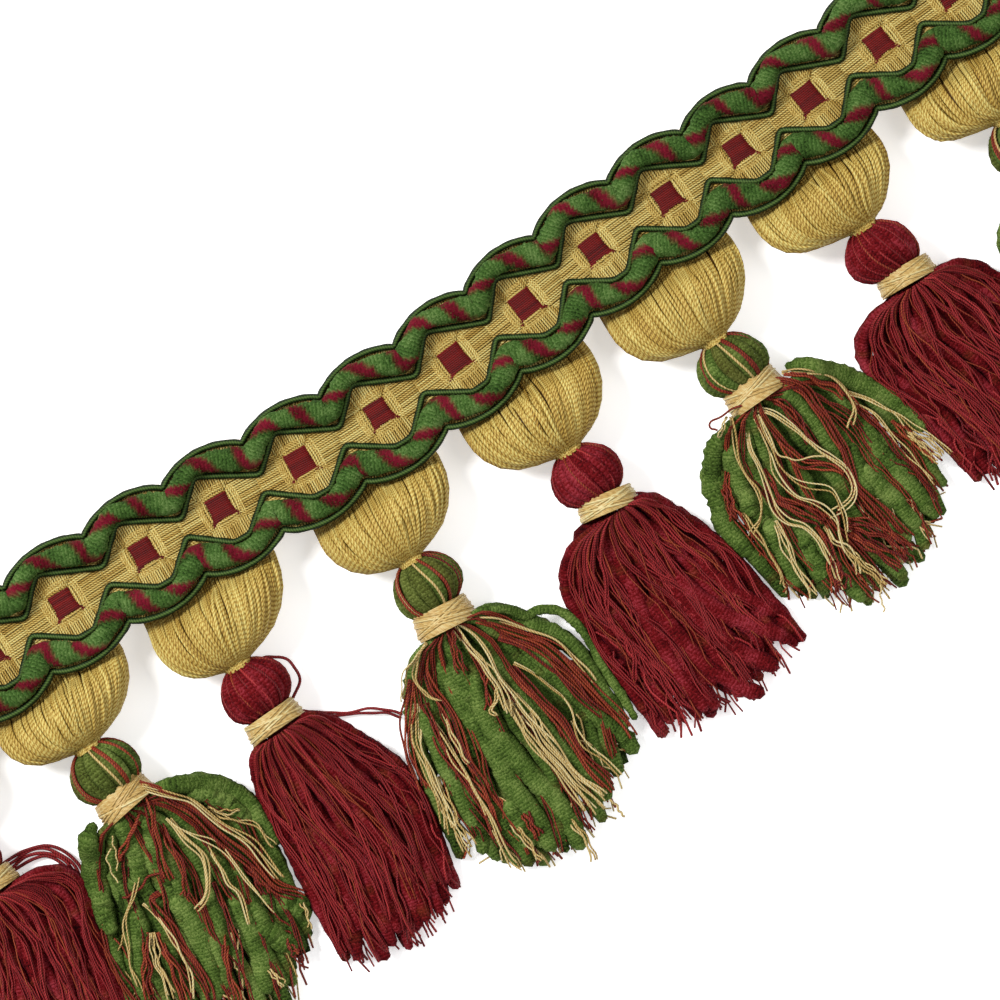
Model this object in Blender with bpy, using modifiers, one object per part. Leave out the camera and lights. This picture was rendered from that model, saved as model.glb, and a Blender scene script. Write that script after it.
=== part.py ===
# Ball and tassel fringe trim, a cut length lying on a table.
#
# A scalloped gold heading carries two chenille border cords and four fine gimp cords.
# Under its lower edge hang eight gathered yarn balls, and from each ball a tassel with
# its head, a bound collar and a spread skirt of yarn locks.
#
# Lengths are millimetres in the tables and metres in the scene. The trim runs along +X,
# its tassels point to -Y, and it rests on the plane Z = 0. The origin is under the middle
# of its box.

import math
import random

import bpy
from mathutils import Vector

MM = 0.001
GAP = 0.3  # air between pieces that touch on the real trim

# The middle of each woven square of the heading, left to right. The braid wavers as it lies.
DIAMONDS = [  # along, across
    (-138.3, 31.6),
    (-120.2, 32.0),
    (-102.1, 32.4),
    (-84.0, 32.3),
    (-65.0, 31.7),
    (-47.2, 30.5),
    (-28.9, 28.9),
    (-10.2, 28.1),
    (8.4, 28.5),
    (26.3, 29.6),
    (44.1, 30.9),
    (62.0, 31.2),
    (79.2, 31.0),
    (96.6, 31.7),
    (114.6, 32.7),
    (131.9, 33.1),
]
# Moves the layout so that the trim's box stands over the origin.
TO_ORIGIN = (-0.3, 10.7)

# The heading, measured across from its middle line. Peaks are at the squares.
CLOTH_THICK = 1.6
UPPER_EDGE = {"valley": 8.9, "peak": 12.2}
LOWER_EDGE = {"valley": -9.7, "peak": -12.8}
SCALLOP_ROUNDNESS = 0.7
STEPS = 4  # places measured for each square
FLAT_FROM = 3.0  # the back lies flat on the table above this line
LIFT_SPAN = 16.0  # and rises below it, over this width,
LIFT_HEIGHT = 7.0  # to this height at the lower edge, on the shoulders of the balls
LIFT_POWER = 1.3
CLOTH_ROWS = (0.0, 0.45)  # rows between the flat part and the lower edge

GIMP_RADIUS = 0.65
CHENILLE_RADIUS = 2.1
CHENILLE_LIFT = 3.35  # the chenille rides on the two gimp cords beside it
UPPER_CHENILLE = {"valley": 6.9, "peak": 10.2}
LOWER_CHENILLE = {"valley": -7.7, "peak": -10.8}
UPPER_RIM_GIMP = {"valley": 9.0, "peak": 12.3}
LOWER_RIM_GIMP = {"valley": -9.85, "peak": -12.95}
UPPER_ZIGZAG = {"valley": 1.6, "peak": 8.0}
LOWER_ZIGZAG = {"valley": -1.8, "peak": -8.6}
ZIGZAG_PHASE = -0.07  # the zigzag's corners stand a little to the left of the squares
ZIGZAG_CORNER = 0.07  # half the width of a rounded corner, in squares

# One row for each ball with its tassel, left to right.
# A skirt's edges are given a quarter of the way down, a little past half way, and at its end.
UNIT_COLUMNS = (
    "name", "ball_x", "ball_y", "head_x", "head_y", "collar_x", "collar_y",
    "left_high", "left_low", "left_end", "right_high", "right_low", "right_end",
    "end_y", "corner_rise",
)
UNIT_ROWS = [
    ("red_1", -131.5, 17.6, -129.4, 0.3, -128.0, -5.9,
     -143.0, -147.6, -149.0, -112.8, -118.2, -122.3, -55.0, 6.0),
    ("green_1", -95.4, 17.4, -95.9, -0.9, -95.8, -6.9,
     -111.2, -116.7, -120.4, -75.9, -76.2, -79.4, -61.0, 11.0),
    ("red_2", -59.2, 14.6, -61.8, -4.4, -62.4, -10.9,
     -73.8, -75.4, -77.4, -50.3, -46.2, -50.6, -63.5, 7.0),
    ("green_2", -20.9, 12.4, -21.5, -6.6, -22.6, -13.1,
     -38.3, -44.7, -47.6, -4.6, -2.6, -5.2, -66.0, 12.5),
    ("red_3", 15.9, 12.6, 17.3, -6.4, 17.3, -12.6,
     -0.4, -1.2, -2.0, 29.8, 30.8, 31.8, -60.4, 6.0),
    ("green_3", 52.4, 14.3, 53.4, -4.7, 54.2, -10.7,
     36.5, 32.5, 35.3, 72.6, 76.4, 78.4, -57.6, 11.0),
    ("red_4", 88.2, 15.8, 91.0, -2.8, 92.3, -8.8,
     74.9, 78.9, 82.7, 108.2, 111.4, 112.5, -57.5, 6.0),
    ("green_4", 125.9, 17.4, 126.6, -0.9, 127.5, -6.9,
     110.8, 113.4, 115.0, 143.0, 148.0, 149.5, -58.0, 10.0),
]
UNITS = [dict(zip(UNIT_COLUMNS, row)) for row in UNIT_ROWS]

# A ball from its neck (share 0) to the heading's lower edge (share 1), and on below the cloth.
BALL_HALF_WIDTH = 15.3
BALL_SIDES = 12
BALL_EDGE = -13.4  # the heading's lower edge, across from its middle line
BALL_SECTIONS = [  # share of the way up, share of the width, lowest, highest
    (0.0, 0.22, 4.6, 9.8),
    (0.07, 0.48, 2.5, 11.8),
    (0.22, 0.73, 0.4, 13.7),
    (0.46, 0.91, -0.5, 14.8),
    (0.7, 0.99, -0.5, 13.9),
    (0.87, 1.0, -0.5, 11.2),
]
BALL_ROOT = [  # distance across from the heading's middle line, share of the width
    (BALL_EDGE, 1.0),
    (-10.0, 0.97),
    (-7.0, 0.91),
    (-4.6, 0.84),
]
ROOT_CLEARANCE = 0.7

HEAD_RADIUS = 7.2
HEAD_HEIGHT = 7.0  # height of its middle, so that it rests on a small flat spot
HEAD_RINGS = (78, 58, 34, 8, -20)  # degrees from the widest place
NECK_RADIUS = 4.8
NECK_HALF_LENGTH = 2.6
NECK_HEIGHT = 6.7
COLLAR_WALL = 1.1
COLLAR_HALF_LENGTH = 2.2
COLLAR_STEPS = 14

# The skirt of a tassel, from the neck (along 0) to its cut ends (along 1).
BODY_SIDES = 10
EDGE_STOPS = (0.0, 0.5, 0.775, 1.0)  # where the edges are given, as square roots of the way
BELL_RINGS = (0.04, 0.11, 0.19, 0.28)
BELL_SQUARENESS = 0.6
LOCK_STATIONS = (0.17, 0.38, 0.7, 1.0)
LOCK_ROOT = 0.66  # the roots are drawn together to this share of their spread
LOCK_LAYERS = [  # layer height, locks in it, reach to the sides
    (-0.727, 9, 0.88),
    (0.0, 8, 0.90),
    (0.70, 8, 0.80),
]
SKIRT_END_THICK = 7.0
SKIRT_ROOT_THICK = 10.6
SIDE_THINNING = 0.45  # the skirt thins by this share towards its sides
LOCK_RAGGEDNESS = 0.03
LOCK_FILL = 0.78  # share of its own room that a lock fills

COLOURS = {  # red, green, blue, roughness
    "gold": (0.66, 0.47, 0.18, 0.55),
    "green": (0.08, 0.20, 0.05, 0.85),
    "dark_green": (0.03, 0.13, 0.02, 0.5),
    "red": (0.25, 0.015, 0.03, 0.75),
}


def clear_scene():
    for obj in list(bpy.data.objects):
        bpy.data.objects.remove(obj)


def new_collection(name):
    collection = bpy.data.collections.new(name)
    bpy.context.scene.collection.children.link(collection)
    return collection


def make_material(name):
    red, green, blue, roughness = COLOURS[name]
    material = bpy.data.materials.new(name)
    material.use_nodes = True
    shader = material.node_tree.nodes["Principled BSDF"]
    shader.inputs["Base Color"].default_value = (red, green, blue, 1.0)
    shader.inputs["Roughness"].default_value = roughness
    shader.inputs["Metallic"].default_value = 0.0
    return material


def blend(a, b, share):
    return a + (b - a) * share


def place(x, y, z):
    """A point of the layout, in metres from the origin."""
    return Vector(((x + TO_ORIGIN[0]) * MM, (y + TO_ORIGIN[1]) * MM, z * MM))


# The heading's shape

def middle_line(square):
    """Point and slope of the heading's middle line. Whole numbers are the woven squares."""
    last = len(DIAMONDS) - 1
    index = min(max(int(math.floor(square)), 0), last - 1)
    share = square - index
    before, start, end, after = (
        Vector(DIAMONDS[min(max(index + step, 0), last)]) for step in (-1, 0, 1, 2)
    )
    if index == 0:
        before = 2 * start - end
    if index == last - 1:
        after = 2 * end - start
    if not 0.0 <= share <= 1.0:
        return start + (end - start) * share, (end - start).normalized()
    bend = 2 * before - 5 * start + 4 * end - after
    twist = 3 * start - 3 * end + after - before
    point = start + 0.5 * (share * (end - before) + share**2 * bend + share**3 * twist)
    slope = (end - before) + 2 * share * bend + 3 * share**2 * twist
    return point, slope.normalized()


def back_height(across):
    """Height of the cloth's back over the table."""
    below = max(0.0, FLAT_FROM - across)
    return LIFT_HEIGHT * (below / LIFT_SPAN) ** LIFT_POWER


def on_cloth(square, across, lift):
    """A point at a height over the cloth's face, measured square to it."""
    point, slope = middle_line(square)
    step = 0.01
    rise = (back_height(across - step) - back_height(across + step)) / (2 * step)
    height = back_height(across) + (CLOTH_THICK + lift) * math.hypot(1.0, rise)
    return place(point.x - slope.y * across, point.y + slope.x * across, height)


def scallop(square, edge):
    """Distance across of a scalloped line: round peaks at the squares, sharp valleys between."""
    roundness = abs(math.cos(math.pi * square)) ** SCALLOP_ROUNDNESS
    return blend(edge["valley"], edge["peak"], roundness)


def wave(square, edge):
    """Distance across of a smooth wave with its peaks at the squares."""
    return blend(edge["valley"], edge["peak"], 0.5 + 0.5 * math.cos(2 * math.pi * square))


def squares():
    """Evenly spaced places along the heading, from cut end to cut end."""
    return [step / STEPS - 0.5 for step in range(len(DIAMONDS) * STEPS + 1)]


def finish_mesh(name, collection, material, points, faces, smooth=True):
    mesh = bpy.data.meshes.new(name)
    mesh.from_pydata(points, [], faces)
    if smooth:
        mesh.shade_smooth()
    obj = bpy.data.objects.new(name, mesh)
    obj.data.materials.append(material)
    collection.objects.link(obj)
    return obj


def loft(rings, points, faces):
    """Adds a closed skin over sections of equal point counts, with a flat cap at each end."""
    first = len(points)
    sides = len(rings[0])
    for ring in rings:
        points.extend(ring)
    for row in range(len(rings) - 1):
        for side in range(sides):
            a = first + row * sides + side
            b = first + row * sides + (side + 1) % sides
            faces.append((a, b, b + sides, a + sides))
    faces.append(tuple(first + side for side in reversed(range(sides))))
    end = first + (len(rings) - 1) * sides
    faces.append(tuple(end + side for side in range(sides)))


def build_cloth(collection, material):
    """The woven strip: an open, draped and scalloped face, given its thickness by Solidify."""
    points = []
    faces = []
    for square in squares():
        upper = scallop(square, UPPER_EDGE)
        lower = scallop(square, LOWER_EDGE)
        across = [upper] + [blend(FLAT_FROM, lower, share) for share in CLOTH_ROWS] + [lower]
        points.extend(on_cloth(square, value, 0.0) for value in across)
    rows = 2 + len(CLOTH_ROWS)
    for column in range(len(DIAMONDS) * STEPS):
        for row in range(rows - 1):
            a = column * rows + row
            faces.append((a, a + 1, a + rows + 1, a + rows))
    cloth = finish_mesh("heading_cloth", collection, material, points, faces)
    solidify = cloth.modifiers.new("thickness", "SOLIDIFY")
    solidify.thickness = CLOTH_THICK * MM
    solidify.offset = -1.0
    solidify.use_even_offset = True
    return cloth


def build_cord(name, collection, material, path, radius, resolution):
    """A cord along a poly line, with filled ends."""
    curve = bpy.data.curves.new(name, "CURVE")
    curve.dimensions = "3D"
    curve.bevel_depth = radius * MM
    curve.bevel_resolution = resolution
    curve.use_fill_caps = True
    spline = curve.splines.new("POLY")
    spline.points.add(len(path) - 1)
    for target, point in zip(spline.points, path):
        target.co = (*point, 1.0)
    curve.materials.append(material)
    cord = bpy.data.objects.new(name, curve)
    collection.objects.link(cord)
    return cord


def zigzag_path(edge):
    """A gimp cord's zigzag: it turns out at each square and in between the squares."""
    turns = []
    for index in range(-1, len(DIAMONDS) + 1):
        for middle, key in ((0.0, "peak"), (0.5, "valley")):
            for side in (-ZIGZAG_CORNER, ZIGZAG_CORNER):
                turns.append((index + middle + side + ZIGZAG_PHASE, edge[key]))
    first, last = -0.5, len(DIAMONDS) - 0.5
    inside = [turn for turn in turns if first < turn[0] < last]
    path = [(first, edge["valley"])] + inside + [(last, inside[-1][1])]
    return [on_cloth(square, across, GIMP_RADIUS + GAP) for square, across in path]


def build_heading(collection, materials):
    build_cloth(collection, materials["gold"])
    along = squares()
    for name, edge in (("upper", UPPER_CHENILLE), ("lower", LOWER_CHENILLE)):
        path = [on_cloth(square, wave(square, edge), CHENILLE_LIFT) for square in along]
        build_cord(f"chenille_cord_{name}", collection, materials["green"], path, CHENILLE_RADIUS, 1)
    lift = GIMP_RADIUS + GAP
    for name, edge in (("upper", UPPER_RIM_GIMP), ("lower", LOWER_RIM_GIMP)):
        path = [on_cloth(square, scallop(square, edge), lift) for square in along]
        build_cord(f"rim_gimp_{name}", collection, materials["dark_green"], path, GIMP_RADIUS, 0)
    for name, edge in (("upper", UPPER_ZIGZAG), ("lower", LOWER_ZIGZAG)):
        path = zigzag_path(edge)
        build_cord(f"zigzag_gimp_{name}", collection, materials["dark_green"], path, GIMP_RADIUS, 0)


# The balls

def middle_height_at(x):
    """The heading's middle line read as a height across, at a place along it."""
    for (x0, y0), (x1, y1) in zip(DIAMONDS, DIAMONDS[1:]):
        if x <= x1:
            break
    return blend(y0, y1, (x - x0) / (x1 - x0))


def ball_ring(x, y, half_width, low, high):
    """An upright oval section. Where it would pass the table it is flat and lies on it."""
    ring = []
    for side in range(BALL_SIDES):
        angle = 2 * math.pi * (side + 0.5) / BALL_SIDES
        height = (low + high) / 2 + (high - low) / 2 * math.sin(angle)
        ring.append(place(x + half_width * math.cos(angle), y, max(0.0, height)))
    return ring


def build_ball(unit, collection, material):
    """Yarn that comes flat from under the heading, swells into a ball and is gathered in a neck."""
    neck_y = unit["head_y"] + head_top() + GAP
    middle = middle_height_at(unit["ball_x"])
    rings = []
    for share, width, low, high in BALL_SECTIONS:
        x = blend(unit["head_x"], unit["ball_x"], math.sqrt(share))
        y = blend(neck_y, middle + BALL_EDGE, share)
        rings.append(ball_ring(x, y, width * BALL_HALF_WIDTH, low, high))
    for across, width in BALL_ROOT:
        high = back_height(across) - ROOT_CLEARANCE
        half_width = width * BALL_HALF_WIDTH
        rings.append(ball_ring(unit["ball_x"], middle + across, half_width, -0.4, high))
    for ring in rings:
        ring.reverse()
    points = []
    faces = []
    loft(rings, points, faces)
    return finish_mesh(f"ball_{unit['name']}", collection, material, points, faces)


# The tassels

def head_top():
    return HEAD_RADIUS * math.sin(math.radians(HEAD_RINGS[0]))


def skirt_thickness(side, along):
    full = blend(SKIRT_END_THICK, SKIRT_ROOT_THICK, (1.0 - along) ** 1.2)
    return full * (1.0 - SIDE_THINNING * side * side * min(1.0, along * 4))


def edge_at(unit, side, along):
    """Where the skirt's left or right edge runs, as a smooth line through its four given places."""
    neck = unit["collar_x"] + (NECK_RADIUS if side == "right" else -NECK_RADIUS)
    values = [neck] + [unit[f"{side}_{place_name}"] for place_name in ("high", "low", "end")]
    way = math.sqrt(along)
    slopes = [
        (values[index + 1] - values[index]) / (EDGE_STOPS[index + 1] - EDGE_STOPS[index])
        for index in range(3)
    ]
    slopes = [slopes[0], (slopes[0] + slopes[1]) / 2, (slopes[1] + slopes[2]) / 2, slopes[2]]
    index = 0 if way < EDGE_STOPS[1] else 1 if way < EDGE_STOPS[2] else 2
    width = EDGE_STOPS[index + 1] - EDGE_STOPS[index]
    share = (way - EDGE_STOPS[index]) / width
    return (
        values[index] * (1 + 2 * share) * (1 - share) ** 2
        + slopes[index] * width * share * (1 - share) ** 2
        + values[index + 1] * share**2 * (3 - 2 * share)
        - slopes[index + 1] * width * share**2 * (1 - share)
    )


def in_skirt(unit, side, layer, along, reach=1.0):
    """A point of the skirt: side -1 left to 1 right, layer -1 on the table to 1 on top."""
    left = edge_at(unit, "left", along)
    right = edge_at(unit, "right", along)
    start_y = unit["collar_y"] - NECK_HALF_LENGTH
    end_y = unit["end_y"] + unit["corner_rise"] * side * side
    fall = along ** (1.0 + 0.25 * side * side)
    y = start_y + (end_y - start_y) * fall * reach
    settled = min(1.0, along / 0.11)
    low = blend(NECK_HEIGHT - NECK_RADIUS, 0.0, settled)
    thick = blend(2 * NECK_RADIUS, skirt_thickness(side, along), settled)
    x = blend(left, right, (side + 1.0) / 2.0)
    return Vector((x, y, low + (layer + 1.0) / 2.0 * thick))


def round_ring(x, y, radius, height):
    ring = []
    for index in range(BODY_SIDES):
        angle = 2 * math.pi * (index + 0.5) / BODY_SIDES
        z = height + radius * math.sin(angle)
        ring.append(place(x + radius * math.cos(angle), y, max(0.0, z)))
    return ring


def bell_ring(unit, along):
    """A section of the gathered yarn below the neck, flatter below than above."""
    ring = []
    squareness = blend(1.0, BELL_SQUARENESS, min(1.0, along / 0.11))
    for index in range(BODY_SIDES):
        angle = 2 * math.pi * (index + 0.5) / BODY_SIDES
        cosine = math.cos(angle)
        sine = math.sin(angle)
        side = math.copysign(abs(cosine) ** squareness, cosine)
        layer = math.copysign(abs(sine) ** squareness, sine)
        ring.append(place(*in_skirt(unit, side, layer, along)))
    return ring


def build_tassel_body(unit, collection, material):
    """Head, neck and the bell of gathered yarn in one skin."""
    rings = []
    for degrees in HEAD_RINGS:
        angle = math.radians(degrees)
        x = blend(unit["head_x"], unit["collar_x"], max(0.0, -math.sin(angle)))
        y = unit["head_y"] + HEAD_RADIUS * math.sin(angle)
        rings.append(round_ring(x, y, HEAD_RADIUS * math.cos(angle), HEAD_HEIGHT))
    collar_top = unit["collar_y"] + NECK_HALF_LENGTH
    rings.append(round_ring(unit["collar_x"], collar_top + 0.5, NECK_RADIUS + 1.4, NECK_HEIGHT))
    rings.append(round_ring(unit["collar_x"], collar_top, NECK_RADIUS, NECK_HEIGHT))
    start = unit["collar_y"] - NECK_HALF_LENGTH
    rings.append(round_ring(unit["collar_x"], start, NECK_RADIUS, NECK_HEIGHT))
    rings.extend(bell_ring(unit, along) for along in BELL_RINGS)
    points = []
    faces = []
    loft(rings, points, faces)
    return finish_mesh(f"tassel_{unit['name']}", collection, material, points, faces)


def lock_rings(unit, layer, side, room, raggedness):
    """A lock of yarn as four three-sided sections, flat side down."""
    rings = []
    for along in LOCK_STATIONS:
        reach = 1.0 + raggedness * (along - LOCK_STATIONS[0])
        gather = LOCK_ROOT if along == LOCK_STATIONS[0] else 1.0
        centre = in_skirt(unit, side * gather, layer * gather, along, reach)
        skirt_width = edge_at(unit, "right", along) - edge_at(unit, "left", along)
        half_width = LOCK_FILL * room * gather * skirt_width / 4
        half_height = LOCK_FILL * 0.35 * gather * skirt_thickness(side, along) / 2
        flat = max(0.0, centre.z - half_height)
        rings.append([
            place(centre.x - half_width, centre.y, flat),
            place(centre.x + half_width, centre.y, flat),
            place(centre.x, centre.y, flat + 2 * half_height),
        ])
    return rings


def build_locks(unit, helpers, material, chance):
    points = []
    faces = []
    for layer, count, reach in LOCK_LAYERS:
        for index in range(count):
            side = blend(-reach, reach, index / (count - 1))
            room = 2 * reach / (count - 1)
            raggedness = chance.uniform(-LOCK_RAGGEDNESS, LOCK_RAGGEDNESS)
            loft(lock_rings(unit, layer, side, room, raggedness), points, faces)
    locks = finish_mesh(f"locks_{unit['name']}", helpers, material, points, faces, smooth=False)
    locks.hide_render = True
    locks.display_type = "WIRE"
    return locks


def build_collar(unit, collection, material):
    """The wound binding round the neck: a turned ring."""
    inner = NECK_RADIUS + GAP + 0.05
    outer = inner + COLLAR_WALL
    half = COLLAR_HALF_LENGTH
    profile = [(outer, half * 0.7), (inner, half), (inner, -half), (outer, -half * 0.7)]
    mesh = bpy.data.meshes.new("collar")
    points = [(radius * MM, 0.0, height * MM) for radius, height in profile]
    mesh.from_pydata(points, [(0, 1), (1, 2), (2, 3), (3, 0)], [])
    collar = bpy.data.objects.new(f"collar_{unit['name']}", mesh)
    collar.data.materials.append(material)
    screw = collar.modifiers.new("turn", "SCREW")
    screw.axis = "Z"
    screw.steps = COLLAR_STEPS
    screw.render_steps = COLLAR_STEPS
    screw.use_merge_vertices = True
    screw.merge_threshold = 0.00005
    screw.use_normal_calculate = True
    collar.rotation_euler = (math.pi / 2, 0.0, 0.0)
    collar.location = place(unit["collar_x"], unit["collar_y"], NECK_HEIGHT)
    collection.objects.link(collar)
    return collar


def build_unit(unit, collection, helpers, materials):
    yarn = materials["red" if unit["name"].startswith("red") else "green"]
    chance = random.Random(unit["name"])
    build_ball(unit, collection, materials["gold"])
    body = build_tassel_body(unit, collection, yarn)
    join = body.modifiers.new("locks", "BOOLEAN")
    join.operation = "UNION"
    join.object = build_locks(unit, helpers, yarn, chance)
    build_collar(unit, collection, materials["gold"])


def main():
    clear_scene()
    trim = new_collection("ball_fringe_trim")
    helpers = new_collection("joined_locks")
    materials = {name: make_material(name) for name in COLOURS}
    build_heading(trim, materials)
    for unit in UNITS:
        build_unit(unit, trim, helpers, materials)


main()
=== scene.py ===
import math

import bpy
import numpy as np
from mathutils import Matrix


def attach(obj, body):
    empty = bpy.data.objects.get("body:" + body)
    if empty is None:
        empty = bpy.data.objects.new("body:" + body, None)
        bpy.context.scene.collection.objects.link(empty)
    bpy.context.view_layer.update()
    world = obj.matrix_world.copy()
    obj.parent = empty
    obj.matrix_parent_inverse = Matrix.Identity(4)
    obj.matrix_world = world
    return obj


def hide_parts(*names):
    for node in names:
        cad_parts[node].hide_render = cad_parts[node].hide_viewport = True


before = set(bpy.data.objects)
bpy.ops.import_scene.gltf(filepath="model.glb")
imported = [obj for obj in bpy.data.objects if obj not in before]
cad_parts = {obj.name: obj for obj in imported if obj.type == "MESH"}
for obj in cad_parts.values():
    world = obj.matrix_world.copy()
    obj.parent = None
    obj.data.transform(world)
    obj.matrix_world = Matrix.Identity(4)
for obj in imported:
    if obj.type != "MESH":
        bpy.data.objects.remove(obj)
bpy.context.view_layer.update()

# Lengths below are millimetres in the trim's own layout, and placed() turns them into the frame.
layoutShift = np.array((-0.3, 10.7, 0.0))

# camera, lights and table first, so that a look is ready at any time

shotSetup = {
    "turned": -34.4,
    "aim": (-0.0003, 0.0107, 0.007),
    "above": 1.1111,
    "lens": 200.0,
    "tableSize": 6.0,
    "worldLight": 0.5,
    "keyWatts": 24.0,
    "fillWatts": 7.0,
    "tableGlow": 0.42,
}

# dyed yarn gives back this share of the light that its screen colour suggests
yarnDepth = 0.52


def paint(red, green, blue):
    # a colour as read on screen, turned into the linear values that shaders take
    linear = []
    for value in (red, green, blue):
        share = value / 255.0
        linear.append(yarnDepth * (share / 12.92 if share <= 0.04045 else ((share + 0.055) / 1.055) ** 2.4))
    return (*linear, 1.0)


def setUpShot():
    aim = shotSetup["aim"]
    bpy.ops.object.camera_add(
        location=(aim[0], aim[1], aim[2] + shotSetup["above"]),
        rotation=(0.0, 0.0, math.radians(shotSetup["turned"])),
    )
    camera = bpy.context.object
    camera.data.lens = shotSetup["lens"]
    camera.data.sensor_width = 36.0
    camera.data.clip_start, camera.data.clip_end = 0.05, 20.0
    bpy.context.scene.camera = camera

    def softBox(name, place, size, watts):
        bpy.ops.object.light_add(type="AREA", location=place)
        box = bpy.context.object
        box.name = name
        box.data.shape = "DISK"
        box.data.size = size
        box.data.energy = watts
        toward = -np.array(place)
        box.rotation_euler = (
            math.acos(-toward[2] / np.linalg.norm(toward)),
            0.0,
            math.atan2(toward[1], toward[0]) - math.pi / 2,
        )
        return box

    softBox("key_light", (-0.55, 0.75, 1.0), 0.5, shotSetup["keyWatts"])
    softBox("fill_light", (0.8, -0.3, 1.0), 0.9, shotSetup["fillWatts"])

    world = bpy.data.worlds.new("studio")
    world.use_nodes = True
    backdrop = world.node_tree.nodes["Background"]
    backdrop.inputs["Color"].default_value = (1.0, 1.0, 1.0, 1.0)
    backdrop.inputs["Strength"].default_value = shotSetup["worldLight"]
    bpy.context.scene.world = world
    bpy.context.scene.view_settings.view_transform = "Standard"

    bpy.ops.mesh.primitive_plane_add(size=shotSetup["tableSize"], location=(0.0, 0.0, -0.0002))
    table = bpy.context.object
    table.name = "table_top"
    bpy.ops.object.transform_apply(location=True, rotation=True, scale=True)
    board = bpy.data.materials.new("pale_board")
    board.use_nodes = True
    shader = board.node_tree.nodes["Principled BSDF"]
    shader.inputs["Base Color"].default_value = (0.93, 0.93, 0.93, 1.0)
    shader.inputs["Roughness"].default_value = 0.9
    shader.inputs["Specular IOR Level"].default_value = 0.1
    shader.inputs["Emission Color"].default_value = (1.0, 1.0, 1.0, 1.0)
    shader.inputs["Emission Strength"].default_value = shotSetup["tableGlow"]
    table.data.materials.append(board)


setUpShot()
print("camera, lights and table are up")

# layout of the heading and of the eight hangings

squaresAt = np.array((
    (-138.3, 31.6), (-120.2, 32.0), (-102.1, 32.4), (-84.0, 32.3),
    (-65.0, 31.7), (-47.2, 30.5), (-28.9, 28.9), (-10.2, 28.1),
    (8.4, 28.5), (26.3, 29.6), (44.1, 30.9), (62.0, 31.2),
    (79.2, 31.0), (96.6, 31.7), (114.6, 32.7), (131.9, 33.1),
))

headingCut = {
    "thick": 1.6, "flatFrom": 3.0, "liftSpan": 16.0, "liftHeight": 7.0, "liftPower": 1.3,
    "upperEdge": (8.9, 12.2), "lowerEdge": (-9.7, -12.8), "roundness": 0.7, "upperShift": 0.05,
    # its ends, counted in red squares, and the usual distance from square to square
    "ends": (-0.5, 15.5), "cell": 18.0,
}

# how a skirt hangs: its top under the collar's middle, half its neck, its slack towards the sides
skirtHang = {
    "top": 2.6, "neck": 4.8, "slack": 0.25, "stops": (0.0, 0.5, 0.775, 1.0),
    "deepEnd": 7.0, "deepTop": 10.6, "thinSides": 0.45, "settled": 0.11,
}

hangingNames = (
    "kind", "ballX", "ballY", "headX", "headY", "collarX", "collarY",
    "leftHigh", "leftLow", "leftEnd", "rightHigh", "rightLow", "rightEnd", "endY", "cornerRise",
)
hangingRows = {
    "red_1": ("red", -131.5, 17.6, -129.4, 0.3, -128.0, -5.9,
              -143.0, -147.6, -149.0, -111.8, -115.6, -119.2, -55.0, 6.0),
    "green_1": ("green", -95.1, 17.6, -95.9, -0.9, -95.8, -6.9,
                -110.2, -117.0, -121.0, -76.4, -76.0, -80.0, -61.5, 11.0),
    "red_2": ("red", -58.8, 15.0, -61.8, -4.4, -62.4, -10.9,
              -73.8, -76.0, -78.6, -50.0, -45.4, -50.0, -64.2, 5.5),
    "green_2": ("green", -20.4, 12.8, -21.5, -6.6, -22.6, -13.1,
                -38.3, -44.7, -47.8, -8.0, -2.4, -5.6, -66.4, 12.5),
    "red_3": ("red", 15.9, 12.6, 16.9, -6.4, 17.3, -12.6,
              -0.4, -1.2, -0.6, 29.3, 33.6, 35.4, -60.8, 3.6),
    "green_3": ("green", 51.9, 14.3, 53.4, -4.7, 54.2, -10.7,
                37.6, 33.9, 35.6, 72.4, 75.6, 76.2, -59.4, 11.0),
    "red_4": ("red", 87.9, 15.3, 90.6, -2.8, 92.3, -8.8,
              74.9, 77.9, 80.9, 108.2, 111.4, 112.5, -57.5, 6.0),
    "green_4": ("green", 125.9, 17.4, 126.6, -0.9, 127.5, -6.9,
                110.8, 113.4, 115.0, 143.0, 148.0, 149.5, -58.0, 10.0),
}
hangings = {name: dict(zip(hangingNames, row), name=name) for name, row in hangingRows.items()}


def placed(points):
    return (np.asarray(points, float) + layoutShift) * 0.001


def mix(a, b, share):
    return a + (b - a) * share


def unitRows(rows):
    return rows / np.maximum(np.linalg.norm(rows, axis=-1, keepdims=True), 1e-9)


def smoothLine(points, count):
    # an even run of points on a smooth line through the given ones
    points = np.asarray(points, float)
    ends = np.vstack((2 * points[0] - points[1], points, 2 * points[-1] - points[-2]))
    place = np.linspace(0.0, len(points) - 1.0, count)
    index = np.minimum(place.astype(int), len(points) - 2)
    share = (place - index)[:, None]
    a, b, c, d = (ends[index + step] for step in range(4))
    return b + 0.5 * (
        share * (c - a)
        + share**2 * (2 * a - 5 * b + 4 * c - d)
        + share**3 * (3 * b - 3 * c + d - a)
    )


def middleLine(square):
    # point and slope of the heading's middle line; whole numbers are the red squares
    square = np.atleast_1d(np.asarray(square, float))
    last = len(squaresAt) - 1
    index = np.clip(np.floor(square).astype(int), 0, last - 1)
    share = (square - index)[:, None]
    ends = np.vstack((2 * squaresAt[0] - squaresAt[1], squaresAt, 2 * squaresAt[-1] - squaresAt[-2]))
    a, b, c, d = (ends[index + step] for step in range(4))
    bend = 2 * a - 5 * b + 4 * c - d
    turn = 3 * b - 3 * c + d - a
    point = b + 0.5 * (share * (c - a) + share**2 * bend + share**3 * turn)
    slope = (c - a) + 2 * share * bend + 3 * share**2 * turn
    outside = ((share < 0) | (share > 1))[:, 0]
    point[outside] = (b + (c - b) * share)[outside]
    slope[outside] = (c - b)[outside]
    return point, unitRows(slope)


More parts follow.
